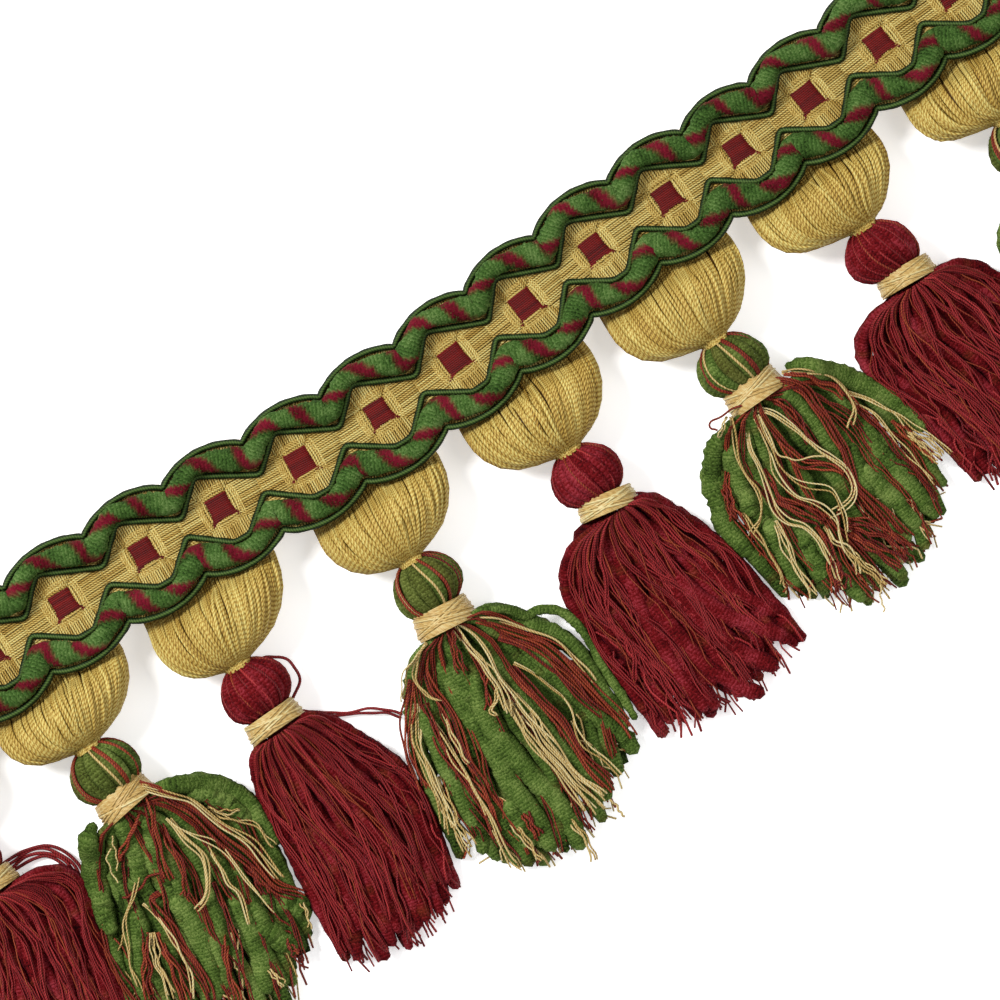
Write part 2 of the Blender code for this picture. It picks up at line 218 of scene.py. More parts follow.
def backHeight(across):
    below = np.maximum(0.0, headingCut["flatFrom"] - np.asarray(across, float))
    return headingCut["liftHeight"] * (below / headingCut["liftSpan"]) ** headingCut["liftPower"]


def onCloth(square, across, lift=0.0):
    # points over the heading's face, with the lift measured square to it
    square, across, lift = np.broadcast_arrays(
        np.atleast_1d(np.asarray(square, float)), np.asarray(across, float), np.asarray(lift, float)
    )
    point, slope = middleLine(square)
    rise = (backHeight(across - 0.01) - backHeight(across + 0.01)) / 0.02
    height = backHeight(across) + (headingCut["thick"] + lift) * np.hypot(1.0, rise)
    return np.column_stack((
        point[:, 0] - slope[:, 1] * across, point[:, 1] + slope[:, 0] * across, height,
    ))


def scallop(square, edge):
    onward = headingCut["upperShift"] if edge[0] > 0 else 0.0
    wave = np.abs(np.cos(np.pi * (np.asarray(square) - onward)))
    return mix(edge[0], edge[1], wave ** headingCut["roundness"])


def middleHeightAt(x):
    return np.interp(x, squaresAt[:, 0], squaresAt[:, 1])


def edgeAt(unit, side, along):
    # left or right edge of a skirt, a smooth line through its four given places
    neck = unit["collarX"] + (skirtHang["neck"] if side == "right" else -skirtHang["neck"])
    values = [neck] + [unit[side + part] for part in ("High", "Low", "End")]
    stops = skirtHang["stops"]
    way = np.sqrt(np.clip(along, 0.0, None))
    slopes = [(values[i + 1] - values[i]) / (stops[i + 1] - stops[i]) for i in range(3)]
    slopes = [slopes[0], (slopes[0] + slopes[1]) / 2, (slopes[1] + slopes[2]) / 2, slopes[2]]
    index = np.where(way < stops[1], 0, np.where(way < stops[2], 1, 2))
    start, end = (np.take(stops, index + step) for step in (0, 1))
    width = end - start
    share = (way - start) / width
    first, second = (np.take(values, index + step) for step in (0, 1))
    slopeA, slopeB = (np.take(slopes, index + step) for step in (0, 1))
    return (
        first * (1 + 2 * share) * (1 - share) ** 2 + slopeA * width * share * (1 - share) ** 2
        + second * share**2 * (3 - 2 * share) - slopeB * width * share**2 * (1 - share)
    )


def skirtDepth(side, along):
    deep = mix(skirtHang["deepEnd"], skirtHang["deepTop"], np.clip(1 - along, 0.0, 1.0) ** 1.2)
    return deep * (1 - skirtHang["thinSides"] * side * side * np.minimum(1.0, 4 * along))


def inSkirt(unit, side, layer, along, inset=0.0):
    # side -1 left to 1 right, layer -1 on the table to 1 on top, inset keeps a strand's own radius inside
    side, layer, along, inset = np.broadcast_arrays(
        *(np.asarray(value, float) for value in (side, layer, along, inset))
    )
    left, right = edgeAt(unit, "left", along), edgeAt(unit, "right", along)
    startY = unit["collarY"] - skirtHang["top"]
    endY = unit["endY"] + unit["cornerRise"] * side * side
    y = startY + (endY - startY) * np.clip(along, 0, None) ** (1 + skirtHang["slack"] * side * side)
    settled = np.minimum(1.0, along / skirtHang["settled"])
    low = mix(1.9, 0.0, settled)
    thick = mix(9.6, skirtDepth(side, along), settled)
    half = np.maximum((right - left) / 2 - inset, 0.2)
    x = (left + right) / 2 + side * half
    z = low + inset + (layer + 1) / 2 * np.maximum(thick - 2 * inset, 0.1)
    return np.column_stack((x, y, z))


# strands of yarn: many small tubes joined into one mesh


def newBundle():
    return {"points": [], "quads": [], "tris": [], "quadUv": [], "triUv": [],
            "quadSlot": [], "triSlot": [], "tint": [], "patch": [], "count": 0}


def addSkin(bundle, ring, tips, tint=0.5, patch=0.0, slot=0, mapped=1.0):
    # a closed skin over rings of points, with a tip at each end and its own map along and around
    rings, sides = ring.shape[:2]
    line = ring.mean(axis=1)
    first = bundle["count"]
    bundle["points"].append(np.vstack((ring.reshape(-1, 3), tips)))
    total = rings * sides + 2
    bundle["count"] += total
    row, column = np.meshgrid(np.arange(rings - 1), np.arange(sides), indexing="ij")
    row, column = row.ravel(), column.ravel()
    after = (column + 1) % sides
    bundle["quads"].append(first + np.column_stack((
        row * sides + column, (row + 1) * sides + column, (row + 1) * sides + after, row * sides + after,
    )))
    way = mapped * np.concatenate(((0.0,), np.cumsum(np.linalg.norm(np.diff(line, axis=0), axis=1))))
    u0, u1 = way[row], way[row + 1]
    v0, v1 = mapped * column / sides, mapped * (column + 1) / sides
    bundle["quadUv"].append(np.stack((
        np.column_stack((u0, v0)), np.column_stack((u1, v0)),
        np.column_stack((u1, v1)), np.column_stack((u0, v1)),
    ), axis=1))
    around = np.arange(sides)
    nextOne = (around + 1) % sides
    lastRow = (rings - 1) * sides
    bundle["tris"].append(first + np.vstack((
        np.column_stack((np.full(sides, total - 2), around, nextOne)),
        np.column_stack((np.full(sides, total - 1), lastRow + nextOne, lastRow + around)),
    )))
    capUv = np.zeros((2 * sides, 3, 2))
    capUv[sides:, :, 0] = way[-1]
    capUv[:, :, 1] = np.tile(around / sides, 2)[:, None]
    bundle["triUv"].append(capUv)
    bundle["quadSlot"].append(np.full(len(row), slot))
    bundle["triSlot"].append(np.full(2 * sides, slot))
    for key, value in (("tint", tint), ("patch", patch)):
        value = np.asarray(value, float)
        value = np.broadcast_to(value[:, None] if value.ndim == 1 else value, (rings, sides))
        bundle[key].append(np.concatenate((value.ravel(), (value[0, 0], value[-1, 0]))))


def outward(angle):
    # straight out from a round's middle, angle 0 on top
    return np.column_stack((np.sin(angle), 0 * angle, np.cos(angle)))


def addStrand(bundle, line, radius, sides=6, tint=0.5, patch=0.0, slot=0,
              away=(0.0, 0.0, 1.0), flat=1.0, rough=0.0, chance=None, phase=0.0, blunt=0.6, mapped=1.0):
    line = np.asarray(line, float)
    rings = len(line)
    radius = np.broadcast_to(np.asarray(radius, float), (rings,))
    flat = np.broadcast_to(np.asarray(flat, float), (rings,))
    ahead = unitRows(np.gradient(line, axis=0))
    up = np.broadcast_to(np.asarray(away, float), (rings, 3))
    side = unitRows(np.cross(ahead, up))
    up = np.cross(side, ahead)
    angle = 2 * np.pi * np.arange(sides) / sides + phase
    swell = np.ones((rings, sides))
    if rough and chance is not None:
        swell += rough * chance.uniform(-1.0, 1.0, (rings, sides))
    spread = (radius[:, None] * swell)[:, :, None]
    ring = line[:, None, :] + spread * (
        np.cos(angle)[None, :, None] * side[:, None, :]
        + flat[:, None, None] * np.sin(angle)[None, :, None] * up[:, None, :]
    )
    tips = np.array((line[0] - ahead[0] * radius[0] * blunt, line[-1] + ahead[-1] * radius[-1] * blunt))
    addSkin(bundle, ring, tips, tint, patch, slot, mapped)
    return ring


def addTufts(bundle, ring, line, count, length, chance, slot=0, tint=0.5, lean=0.6, thick=0.11):
    # short closed fibres that stand off a pile's surface
    rings, sides = ring.shape[:2]
    if count < 1:
        return
    row = chance.integers(0, rings - 1, count)
    column = chance.integers(0, sides, count)
    share = chance.random((count, 1))
    turn = chance.random((count, 1))
    near = mix(ring[row, column], ring[row + 1, column], share)
    far = mix(ring[row, (column + 1) % sides], ring[row + 1, (column + 1) % sides], share)
    base = mix(near, far, turn)
    heart = mix(np.asarray(line)[row], np.asarray(line)[row + 1], share)
    out = unitRows(base - heart)
    base = base - out * 0.15
    aim = unitRows(out + lean * chance.normal(0.0, 0.6, (count, 3)))
    tip = base + aim * (length * chance.uniform(0.5, 1.0, (count, 1)) + 0.15)
    sideA = unitRows(np.cross(aim, chance.normal(0.0, 1.0, (count, 3))))
    sideB = np.cross(aim, sideA)
    corners = [
        base + thick * (math.cos(turned) * sideA + math.sin(turned) * sideB)
        for turned in (0.0, 2.0944, 4.1888)
    ]
    points = np.stack((*corners, tip), axis=1).reshape(-1, 3)
    first = bundle["count"] + 4 * np.arange(count)[:, None]
    bundle["points"].append(points)
    bundle["count"] += 4 * count
    faces = ((0, 2, 1), (0, 1, 3), (1, 2, 3), (2, 0, 3))
    bundle["tris"].append(np.vstack([first + np.array(face) for face in faces]))
    bundle["triUv"].append(np.zeros((4 * count, 3, 2)))
    bundle["triSlot"].append(np.full(4 * count, slot))
    tints = np.repeat(tint + chance.uniform(-0.2, 0.2, count), 4)
    bundle["tint"].append(tints)
    bundle["patch"].append(np.zeros(4 * count))


def finishBundle(name, bundle, materials, replaced=()):
    points = placed(np.vstack(bundle["points"]))
    points[:, 2] = np.maximum(points[:, 2], 0.00002)
    quads = np.vstack(bundle["quads"]) if bundle["quads"] else np.zeros((0, 4), int)
    tris = np.vstack(bundle["tris"])
    mesh = bpy.data.meshes.new(name)
    mesh.vertices.add(len(points))
    mesh.vertices.foreach_set("co", points.ravel())
    corners = np.concatenate((quads.ravel(), tris.ravel()))
    mesh.loops.add(len(corners))
    mesh.loops.foreach_set("vertex_index", corners.astype(np.int32))
    starts = np.concatenate((np.arange(len(quads)) * 4, len(quads) * 4 + np.arange(len(tris)) * 3))
    mesh.polygons.add(len(starts))
    mesh.polygons.foreach_set("loop_start", starts.astype(np.int32))
    for material in materials:
        mesh.materials.append(material)
    slots = np.concatenate(bundle["quadSlot"] + bundle["triSlot"])
    mesh.polygons.foreach_set("material_index", slots.astype(np.int32))
    mesh.polygons.foreach_set("use_smooth", np.ones(len(starts), bool))
    mesh.update(calc_edges=True)
    uv = [np.vstack(bundle[key]).reshape(-1, 2) for key in ("quadUv", "triUv") if bundle[key]]
    mesh.uv_layers.new(name="strandMap").data.foreach_set("uv", np.vstack(uv).ravel())
    for key in ("tint", "patch"):
        mesh.attributes.new(key, "FLOAT", "POINT").data.foreach_set("value", np.concatenate(bundle[key]))
    piece = bpy.data.objects.new(name, mesh)
    bpy.context.scene.collection.objects.link(piece)
    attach(piece, "root")
    if replaced:
        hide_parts(*replaced)
    print(f"{name}: {2 * len(quads) + len(tris)} triangles")
    return piece


def newGroup(name, inputs, outputs):
    group = bpy.data.node_groups.new(name, "ShaderNodeTree")
    for label, kind, value in inputs:
        socket = group.interface.new_socket(name=label, in_out="INPUT", socket_type=kind)
        if value is not None:
            socket.default_value = value
    for label, kind in outputs:
        group.interface.new_socket(name=label, in_out="OUTPUT", socket_type=kind)
    start = group.nodes.new("NodeGroupInput")
    end = group.nodes.new("NodeGroupOutput")
    return group, start, end


def addNode(tree, kind, **values):
    node = tree.nodes.new(kind)
    for key, value in values.items():
        setattr(node, key, value)
    return node


def feed(tree, source, target):
    tree.links.new(source, target)


def mathNode(tree, operation, first, second=None, third=None):
    node = addNode(tree, "ShaderNodeMath", operation=operation)
    for index, value in enumerate((first, second, third)):
        if value is None:
            continue
        if isinstance(value, (int, float)):
            node.inputs[index].default_value = value
        else:
            feed(tree, value, node.inputs[index])
    return node.outputs[0]


def buildPlyTwist():
    # ridges of a plied yarn, from its own map: along in millimetres, around from 0 to 1
    group, start, end = newGroup(
        "plyTwist",
        [("Map", "NodeSocketVector", None), ("Pitch", "NodeSocketFloat", 1.6),
         ("Plies", "NodeSocketFloat", 2.0)],
        [("Ridge", "NodeSocketFloat")],
    )
    parts = addNode(group, "ShaderNodeSeparateXYZ")
    feed(group, start.outputs["Map"], parts.inputs[0])
    turns = mathNode(group, "DIVIDE", parts.outputs["X"], start.outputs["Pitch"])
    sway = mathNode(group, "ADD", turns, parts.outputs["Y"])
    sway = mathNode(group, "MULTIPLY", sway, start.outputs["Plies"])
    wave = mathNode(group, "SINE", mathNode(group, "MULTIPLY", sway, 2 * math.pi))
    ridge = mathNode(group, "MULTIPLY_ADD", wave, 0.5, 0.5)
    feed(group, mathNode(group, "POWER", ridge, 0.55), end.inputs["Ridge"])
    return group


def buildVelvetPile():
    # short cut pile: fine speckle for height, and a broad drift of painted sheen and shade where the pile lies
    # another way
    group, start, end = newGroup(
        "velvetPile",
        [("Place", "NodeSocketVector", None), ("Fineness", "NodeSocketFloat", 2600.0),
         ("Drift", "NodeSocketFloat", 260.0)],
        [("Height", "NodeSocketFloat"), ("Speck", "NodeSocketFloat"), ("LieSheen", "NodeSocketFloat")],
    )
    fine = addNode(group, "ShaderNodeTexNoise")
    fine.inputs["Detail"].default_value = 3.0
    feed(group, start.outputs["Place"], fine.inputs["Vector"])
    feed(group, start.outputs["Fineness"], fine.inputs["Scale"])
    broad = addNode(group, "ShaderNodeTexNoise")
    broad.inputs["Detail"].default_value = 2.0
    feed(group, start.outputs["Place"], broad.inputs["Vector"])
    feed(group, start.outputs["Drift"], broad.inputs["Scale"])
    feed(group, fine.outputs["Fac"], end.inputs["Height"])
    speck = addNode(group, "ShaderNodeMapRange")
    speck.inputs["From Min"].default_value = 0.35
    speck.inputs["From Max"].default_value = 0.65
    feed(group, fine.outputs["Fac"], speck.inputs["Value"])
    feed(group, speck.outputs[0], end.inputs["Speck"])
    lieSheen = addNode(group, "ShaderNodeMapRange")
    lieSheen.inputs["From Min"].default_value = 0.32
    lieSheen.inputs["From Max"].default_value = 0.68
    feed(group, broad.outputs["Fac"], lieSheen.inputs["Value"])
    feed(group, lieSheen.outputs[0], end.inputs["LieSheen"])
    return group


def buildPileRows():
    # the rows in which a chenille's cut pile stands on its core
    group, start, end = newGroup(
        "pileRows",
        [("Map", "NodeSocketVector", None), ("Stray", "NodeSocketFloat", 0.5),
         ("Spacing", "NodeSocketFloat", 0.75)],
        [("Rows", "NodeSocketFloat")],
    )
    parts = addNode(group, "ShaderNodeSeparateXYZ")
    feed(group, start.outputs["Map"], parts.inputs[0])
    turns = mathNode(group, "DIVIDE", parts.outputs["X"], start.outputs["Spacing"])
    turns = mathNode(group, "MULTIPLY_ADD", start.outputs["Stray"], 1.4, turns)
    wave = mathNode(group, "SINE", mathNode(group, "MULTIPLY", turns, 2 * math.pi))
    feed(group, mathNode(group, "MULTIPLY_ADD", wave, 0.5, 0.5), end.inputs["Rows"])
    return group


plyTwist = buildPlyTwist()
pileRows = buildPileRows()
velvetPile = buildVelvetPile()


def startMaterial(name, roughness, sheen, sheenTint, specular):
    material = bpy.data.materials.new(name)
    material.use_nodes = True
    tree = material.node_tree
    shader = tree.nodes["Principled BSDF"]
    shader.inputs["Roughness"].default_value = roughness
    shader.inputs["Specular IOR Level"].default_value = specular
    shader.inputs["Sheen Weight"].default_value = sheen
    shader.inputs["Sheen Roughness"].default_value = 0.4
    shader.inputs["Sheen Tint"].default_value = sheenTint
    return material, tree, shader


def rampOf(tree, factor, stops):
    ramp = addNode(tree, "ShaderNodeValToRGB")
    while len(ramp.color_ramp.elements) < len(stops):
        ramp.color_ramp.elements.new(0.5)
    for element, (place, colour) in zip(ramp.color_ramp.elements, stops):
        element.position = place
        element.color = colour
    feed(tree, factor, ramp.inputs["Fac"])
    return ramp.outputs["Color"]


def blendColours(tree, factor, first, second):
    node = addNode(tree, "ShaderNodeMix", data_type="RGBA")
    for source, socket in ((factor, node.inputs[0]), (first, node.inputs[6]), (second, node.inputs[7])):
        feed(tree, source, socket)
    return node.outputs[2]


def threadMaterial(name, deep, body, light, pitch=1.6, plies=2.0, ridgeShadeShare=0.42, tintShare=0.38,
                   bump=0.35, roughness=0.6, specular=0.22):
    # a plied thread: painted shade in the grooves and a painted highlight on the ridges, each thread a little
    # different
    material, tree, shader = startMaterial(name, roughness, 0.03, light, specular)
    ownMap = addNode(tree, "ShaderNodeUVMap", uv_map="strandMap")
    twist = addNode(tree, "ShaderNodeGroup", node_tree=plyTwist)
    twist.inputs["Pitch"].default_value = pitch
    twist.inputs["Plies"].default_value = plies
    feed(tree, ownMap.outputs["UV"], twist.inputs["Map"])
    tint = addNode(tree, "ShaderNodeAttribute", attribute_name="tint")
    place = addNode(tree, "ShaderNodeTexCoord")
    drift = addNode(tree, "ShaderNodeTexNoise")
    drift.inputs["Scale"].default_value = 900.0
    feed(tree, place.outputs["Object"], drift.inputs["Vector"])
    # the ply ridges paint shade into the grooves and a highlight onto the crests
    level = mathNode(tree, "MULTIPLY", twist.outputs["Ridge"], ridgeShadeShare)
    level = mathNode(tree, "MULTIPLY_ADD", tint.outputs["Fac"], tintShare, level)
    level = mathNode(tree, "MULTIPLY_ADD", drift.outputs["Fac"], 1.0 - ridgeShadeShare - tintShare, level)
    feed(tree, rampOf(tree, level, ((0.12, deep), (0.5, body), (0.85, light))), shader.inputs["Base Color"])
    relief = addNode(tree, "ShaderNodeBump")
    relief.inputs["Strength"].default_value = bump
    relief.inputs["Distance"].default_value = 0.00012
    feed(tree, twist.outputs["Ridge"], relief.inputs["Height"])
    feed(tree, relief.outputs["Normal"], shader.inputs["Normal"])
    return material


def pileMaterial(name, deep, body, light, fleck, sheenTint):
    # chenille: cut pile with light and dark drifts, partly painted sheen and shade where the pile lies another
    # way, with painted shade between the pile rows, flecked where the patch value is high
    material, tree, shader = startMaterial(name, 0.9, 0.22, sheenTint, 0.06)
    place = addNode(tree, "ShaderNodeTexCoord")
    pile = addNode(tree, "ShaderNodeGroup", node_tree=velvetPile)
    feed(tree, place.outputs["Object"], pile.inputs["Place"])
    tint = addNode(tree, "ShaderNodeAttribute", attribute_name="tint")
    patch = addNode(tree, "ShaderNodeAttribute", attribute_name="patch")
    ownMap = addNode(tree, "ShaderNodeUVMap", uv_map="strandMap")
    rows = addNode(tree, "ShaderNodeGroup", node_tree=pileRows)
    feed(tree, ownMap.outputs["UV"], rows.inputs["Map"])
    feed(tree, pile.outputs["Height"], rows.inputs["Stray"])
    level = mathNode(tree, "MULTIPLY", pile.outputs["Speck"], 0.30)
    # painted sheen and shade where the pile lies another way
    level = mathNode(tree, "MULTIPLY_ADD", pile.outputs["LieSheen"], 0.22, level)
    # painted shade between the pile rows, darker in their troughs
    level = mathNode(tree, "MULTIPLY_ADD", rows.outputs["Rows"], 0.16, level)
    level = mathNode(tree, "MULTIPLY_ADD", tint.outputs["Fac"], 0.32, level)
    colour = rampOf(tree, level, ((0.15, deep), (0.5, body), (0.88, light)))
    fleckTone = rampOf(tree, level, ((0.15, fleck[0]), (0.7, fleck[1])))
    feed(tree, blendColours(tree, patch.outputs["Fac"], colour, fleckTone), shader.inputs["Base Color"])
    relief = addNode(tree, "ShaderNodeBump")
    relief.inputs["Strength"].default_value = 0.8
    relief.inputs["Distance"].default_value = 0.0003
    height = mathNode(tree, "MULTIPLY_ADD", rows.outputs["Rows"], 0.5, pile.outputs["Height"])
    feed(tree, height, relief.inputs["Height"])
    feed(tree, relief.outputs["Normal"], shader.inputs["Normal"])
    return material


goldBall = threadMaterial("gold_ball_yarn", paint(94, 60, 8), paint(210, 168, 70), paint(255, 236, 142),
                          pitch=1.9, ridgeShadeShare=0.44, tintShare=0.38, bump=0.6)
goldGround = threadMaterial("gold_ground_thread", paint(98, 64, 10), paint(214, 172, 74), paint(255, 238, 152),
                            pitch=1.3, ridgeShadeShare=0.48, tintShare=0.34, bump=0.6)
goldWrap = threadMaterial("gold_wrap_thread", paint(150, 108, 40), paint(230, 190, 112), paint(255, 240, 176),
                          pitch=2.6, ridgeShadeShare=0.2, tintShare=0.5, bump=0.15, roughness=0.45, specular=0.35)
creamThread = threadMaterial("cream_thread", paint(118, 80, 26), paint(226, 190, 112), paint(255, 240, 184),
                             pitch=1.5, bump=0.5)
rustThread = threadMaterial("rust_thread", paint(38, 2, 2), paint(128, 26, 14), paint(196, 92, 50),
                            pitch=1.3, bump=0.5)
plumThread = threadMaterial("plum_thread", paint(42, 0, 4), paint(136, 12, 20), paint(206, 62, 62),
                            pitch=1.1, bump=0.5)
redWeave = threadMaterial("red_weave_thread", paint(44, 0, 0), paint(106, 2, 0), paint(150, 20, 12),
                          pitch=1.0, ridgeShadeShare=0.35, bump=0.4)
# the near-black deep colour carries the painted shade at the gimp cord's sides
gimpGreen = threadMaterial("green_gimp_thread", paint(2, 12, 0), paint(28, 50, 12), paint(92, 122, 52),
                           pitch=1.7, plies=3.0, ridgeShadeShare=0.25, tintShare=0.65, bump=0.5, specular=0.15)
greenPile = pileMaterial("green_chenille_pile", paint(16, 28, 4), paint(88, 116, 46), paint(152, 174, 92),
                         (paint(96, 14, 14), paint(160, 46, 50)), paint(120, 150, 80))
borderPile = pileMaterial("border_chenille_pile", paint(22, 42, 8), paint(76, 112, 48), paint(132, 162, 92),
                          (paint(76, 6, 14), paint(136, 28, 48)), paint(120, 150, 80))
redPile = pileMaterial("burgundy_chenille_pile", paint(44, 0, 4), paint(128, 20, 24), paint(186, 66, 78),
                       (paint(80, 44, 12), paint(140, 96, 40)), paint(150, 60, 90))
print("materials are mixed")

clothWeave = {
    "columns": 192, "rows": 14, "thick": 1.35, "threadRadius": 0.26, "threadGap": 0.5,
    # half of a red square, and the raised stitches round it: rows, distance and half length of the first
    "squareReach": 2.35, "stitchRows": 4, "stitchOut": 2.75, "stitchHalf": 2.3, "stitchRadius": 0.27,
}


def buildHeadingCloth():
    bpy.ops.object.select_all(action="DESELECT")
    bpy.ops.mesh.primitive_grid_add(
        x_subdivisions=clothWeave["columns"], y_subdivisions=clothWeave["rows"], size=2.0)
    cloth = bpy.context.object
    cloth.name = cloth.data.name = "woven_heading"
    flat = np.zeros(len(cloth.data.vertices) * 3)
    cloth.data.vertices.foreach_get("co", flat)
    flat = flat.reshape(-1, 3)
    square = mix(*headingCut["ends"], (flat[:, 0] + 1) / 2)
    lower, upper = scallop(square, headingCut["lowerEdge"]), scallop(square, headingCut["upperEdge"])
    across = mix(lower, upper, (flat[:, 1] + 1) / 2)
    shaped = placed(onCloth(square, across, -0.15))
    cloth.data.vertices.foreach_set("co", shaped.ravel())
    cloth.data.update()
    ownMap = cloth.data.uv_layers.active or cloth.data.uv_layers.new()
    ownMap.name = "strandMap"
    for key in ("tint", "patch"):
        attribute = cloth.data.attributes.new(key, "FLOAT", "POINT")
        attribute.data.foreach_set("value", np.full(len(shaped), 0.25))
    thickness = cloth.modifiers.new("thickness", "SOLIDIFY")
    thickness.thickness = clothWeave["thick"] * 0.001
    thickness.offset = -1.0
    bpy.ops.object.modifier_apply(modifier="thickness")
    cloth.data.materials.append(goldGround)
    bpy.ops.object.shade_smooth_by_angle(angle=math.radians(40))
    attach(cloth, "root")
    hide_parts("heading_cloth")
    return cloth


def cellLength(cell):
    return np.linalg.norm(middleLine([cell + 0.5])[0] - middleLine([cell - 0.5])[0])


def ripple(chance, steps, waves):
    # a sine from a seeded start
    return np.sin(2 * np.pi * (steps * waves + chance.random()))


def anyTint(chance, middle, spread):
    return np.clip(chance.normal(middle, spread), 0, 1)


def buildGoldThreads():
    chance = np.random.default_rng(11)
    bundle = newBundle()
    gap, radius = clothWeave["threadGap"], clothWeave["threadRadius"]
    for cell in range(len(squaresAt)):
        length = cellLength(cell)
        half = length / 2

        def lay(startX, startY, endX, endY, tint):
            distance = math.hypot(endX - startX, endY - startY)
            if distance < 0.5:
                return
            count = max(4, int(distance / 2.0) + 2)
            along = cell + np.linspace(startX, endX, count) / length
            across = np.linspace(startY, endY, count)
            steps = np.linspace(0, 1, count)
            bow = 0.16 * np.sin(np.pi * steps)
            bow = bow + 0.07 * np.sin(distance * 2.4 * steps + chance.uniform(0, 6))
            line = onCloth(along, across, 0.1 + bow + chance.uniform(-0.07, 0.07))
            addStrand(bundle, line, radius * chance.uniform(0.88, 1.12), 4, tint=tint,
                      phase=chance.uniform(0, 1))

        offset = -half + gap / 2
        while offset < half:
            # above and below the square the threads run across
            x = offset + chance.uniform(-0.05, 0.05)
            inner = max(abs(x) * 0.98, clothWeave["squareReach"])
            reachUp = float(scallop(cell + x / length, headingCut["upperEdge"])) - 0.4
            reachDown = float(scallop(cell + x / length, headingCut["lowerEdge"])) + 0.4
            broad = 0.5 + 0.22 * math.sin(cell * 2.1 + x * 0.7)
            if reachUp > inner:
                lay(x, inner, x + 0.12 * x, reachUp, np.clip(broad + chance.normal(0, 0.26), 0, 1))
            if -reachDown > inner:
                lay(x, -inner, x + 0.12 * x, reachDown, np.clip(broad + chance.normal(0, 0.26), 0, 1))
            offset += gap
        offset = -half * 0.98
        while offset < half * 0.98:
            y = offset + chance.uniform(-0.05, 0.05)
            inner = max(abs(y), clothWeave["squareReach"])
            for way in (-1, 1):
                if half > inner + 0.3:
                    lay(way * inner, y, way * (half + 0.15), y * 1.02,
                        np.clip(0.55 + 0.2 * math.sin(cell * 1.3 + y) + chance.normal(0, 0.26), 0, 1))
            offset += gap
        for turn in range(4):
            # raised stitches lie along the sides of the red square
            for row in range(clothWeave["stitchRows"]):
                far, reach = clothWeave["stitchOut"] + 0.46 * row, clothWeave["stitchHalf"] + 0.42 * row
                steps = np.linspace(-1, 1, 6)
                away = -far - 0.25 * (1 - steps**2) * (1 if row else 0.4) + chance.uniform(-0.08, 0.08)
                beside = steps * reach + chance.uniform(-0.3, 0.3)
                x, y = ((beside, away), (-away, beside), (-beside, -away), (away, -beside))[turn]
                line = onCloth(cell + x / length, y, 0.42 - 0.07 * row - 0.2 * steps**2)
                # the stitches on one side of each square are painted lighter, a painted highlight
                litSideTone = 0.75 if turn == 1 else 0.4
                addStrand(bundle, line, clothWeave["stitchRadius"], 4,
                          tint=anyTint(chance, litSideTone, 0.18), phase=chance.uniform(0, 1))
    return finishBundle("gold_ground_threads", bundle, [goldGround])


def buildRedSquares():
    chance = np.random.default_rng(12)
    bundle = newBundle()
    for cell in range(len(squaresAt)):
        length = cellLength(cell)
        size = chance.uniform(0.95, 1.05)
        skew = chance.uniform(-0.25, 0.25)
        height = -3.0 * size
        while height < 2.5 * size:
            outer = (2.3 + (0.85 if height < 0 else 0.15) * (abs(height) / (2.8 * size)) ** 2) * size
            inner = 0.0
            if height < -2.4 * size:
                inner = 2.9 * size * math.sqrt((-height - 2.4 * size) / (0.75 * size))
            runs = [(-outer, outer)] if inner == 0.0 else [(-outer, -inner), (inner, outer)]
            for start, end in runs:
                if end - start < 0.35:
                    continue
                count = max(4, int((end - start) / 0.7))
                x = np.linspace(start, end, count)
                y = height + skew * x * 0.2
                arch = 0.32 * np.sqrt(np.clip(1 - (x / 3.1) ** 2, 0, 1))
                arch = arch * math.sqrt(max(0.05, 1 - (height / 3.2) ** 2))
                line = onCloth(cell + x / length, y, 0.12 + arch)
                addStrand(bundle, line, clothWeave["threadRadius"], 5,
                          tint=anyTint(chance, 0.5, 0.2), phase=chance.uniform(0, 1))
            height += 0.4
    return finishBundle("red_woven_squares", bundle, [redWeave])


borderCord = {
    "least": 1.9, "most": 2.6, "flat": 0.8, "lift": 3.0, "step": 0.48,
    "sides": 14, "tufts": 4600, "spiral": 8.2, "dashes": 0.36,
}
gimpCord = {
    "radius": 0.66, "lift": 0.98, "sides": 8, "step": 0.5, "plies": 3, "twist": 1.7,
    "upperRim": (9.0, 12.1), "lowerRim": (-9.95, -12.95),
}
# corners of the zigzag: distance from a square, distance across
zigzagCorners = {
    True: ((-1.9, 7.7), (-0.8, 7.6), (10.1, 1.8)),
    False: ((-0.8, -7.6), (2.8, -7.7), (9.2, -1.7)),
}


def evenRun(line, step):
    # the same line with points at even distances
    gaps = np.linalg.norm(np.diff(line, axis=0), axis=1)
    way = np.concatenate(((0.0,), np.cumsum(gaps)))
    count = max(2, int(way[-1] / step) + 1)
    at = np.linspace(0.0, way[-1], count)
    return np.column_stack([np.interp(at, way, line[:, axis]) for axis in range(3)]), at


def softened(line, passes):
    line = line.copy()
    for turn in range(passes):
        line[1:-1] = 0.25 * line[:-2] + 0.5 * line[1:-1] + 0.25 * line[2:]
    return line


def zigzagLine(upper):
    # the corners joined along the whole trim, a little rounded
    cellWidth = headingCut["cell"]
    corners = np.array([
        (cell * cellWidth + along, across)
        for cell in range(-1, len(squaresAt) + 1) for along, across in zigzagCorners[upper]
    ])
    first, last = (end * cellWidth for end in headingCut["ends"])
    place = np.arange(first, last + 0.01, 0.2)
    across = softened(np.interp(place, corners[:, 0], corners[:, 1]), 8)
    return place / cellWidth, across


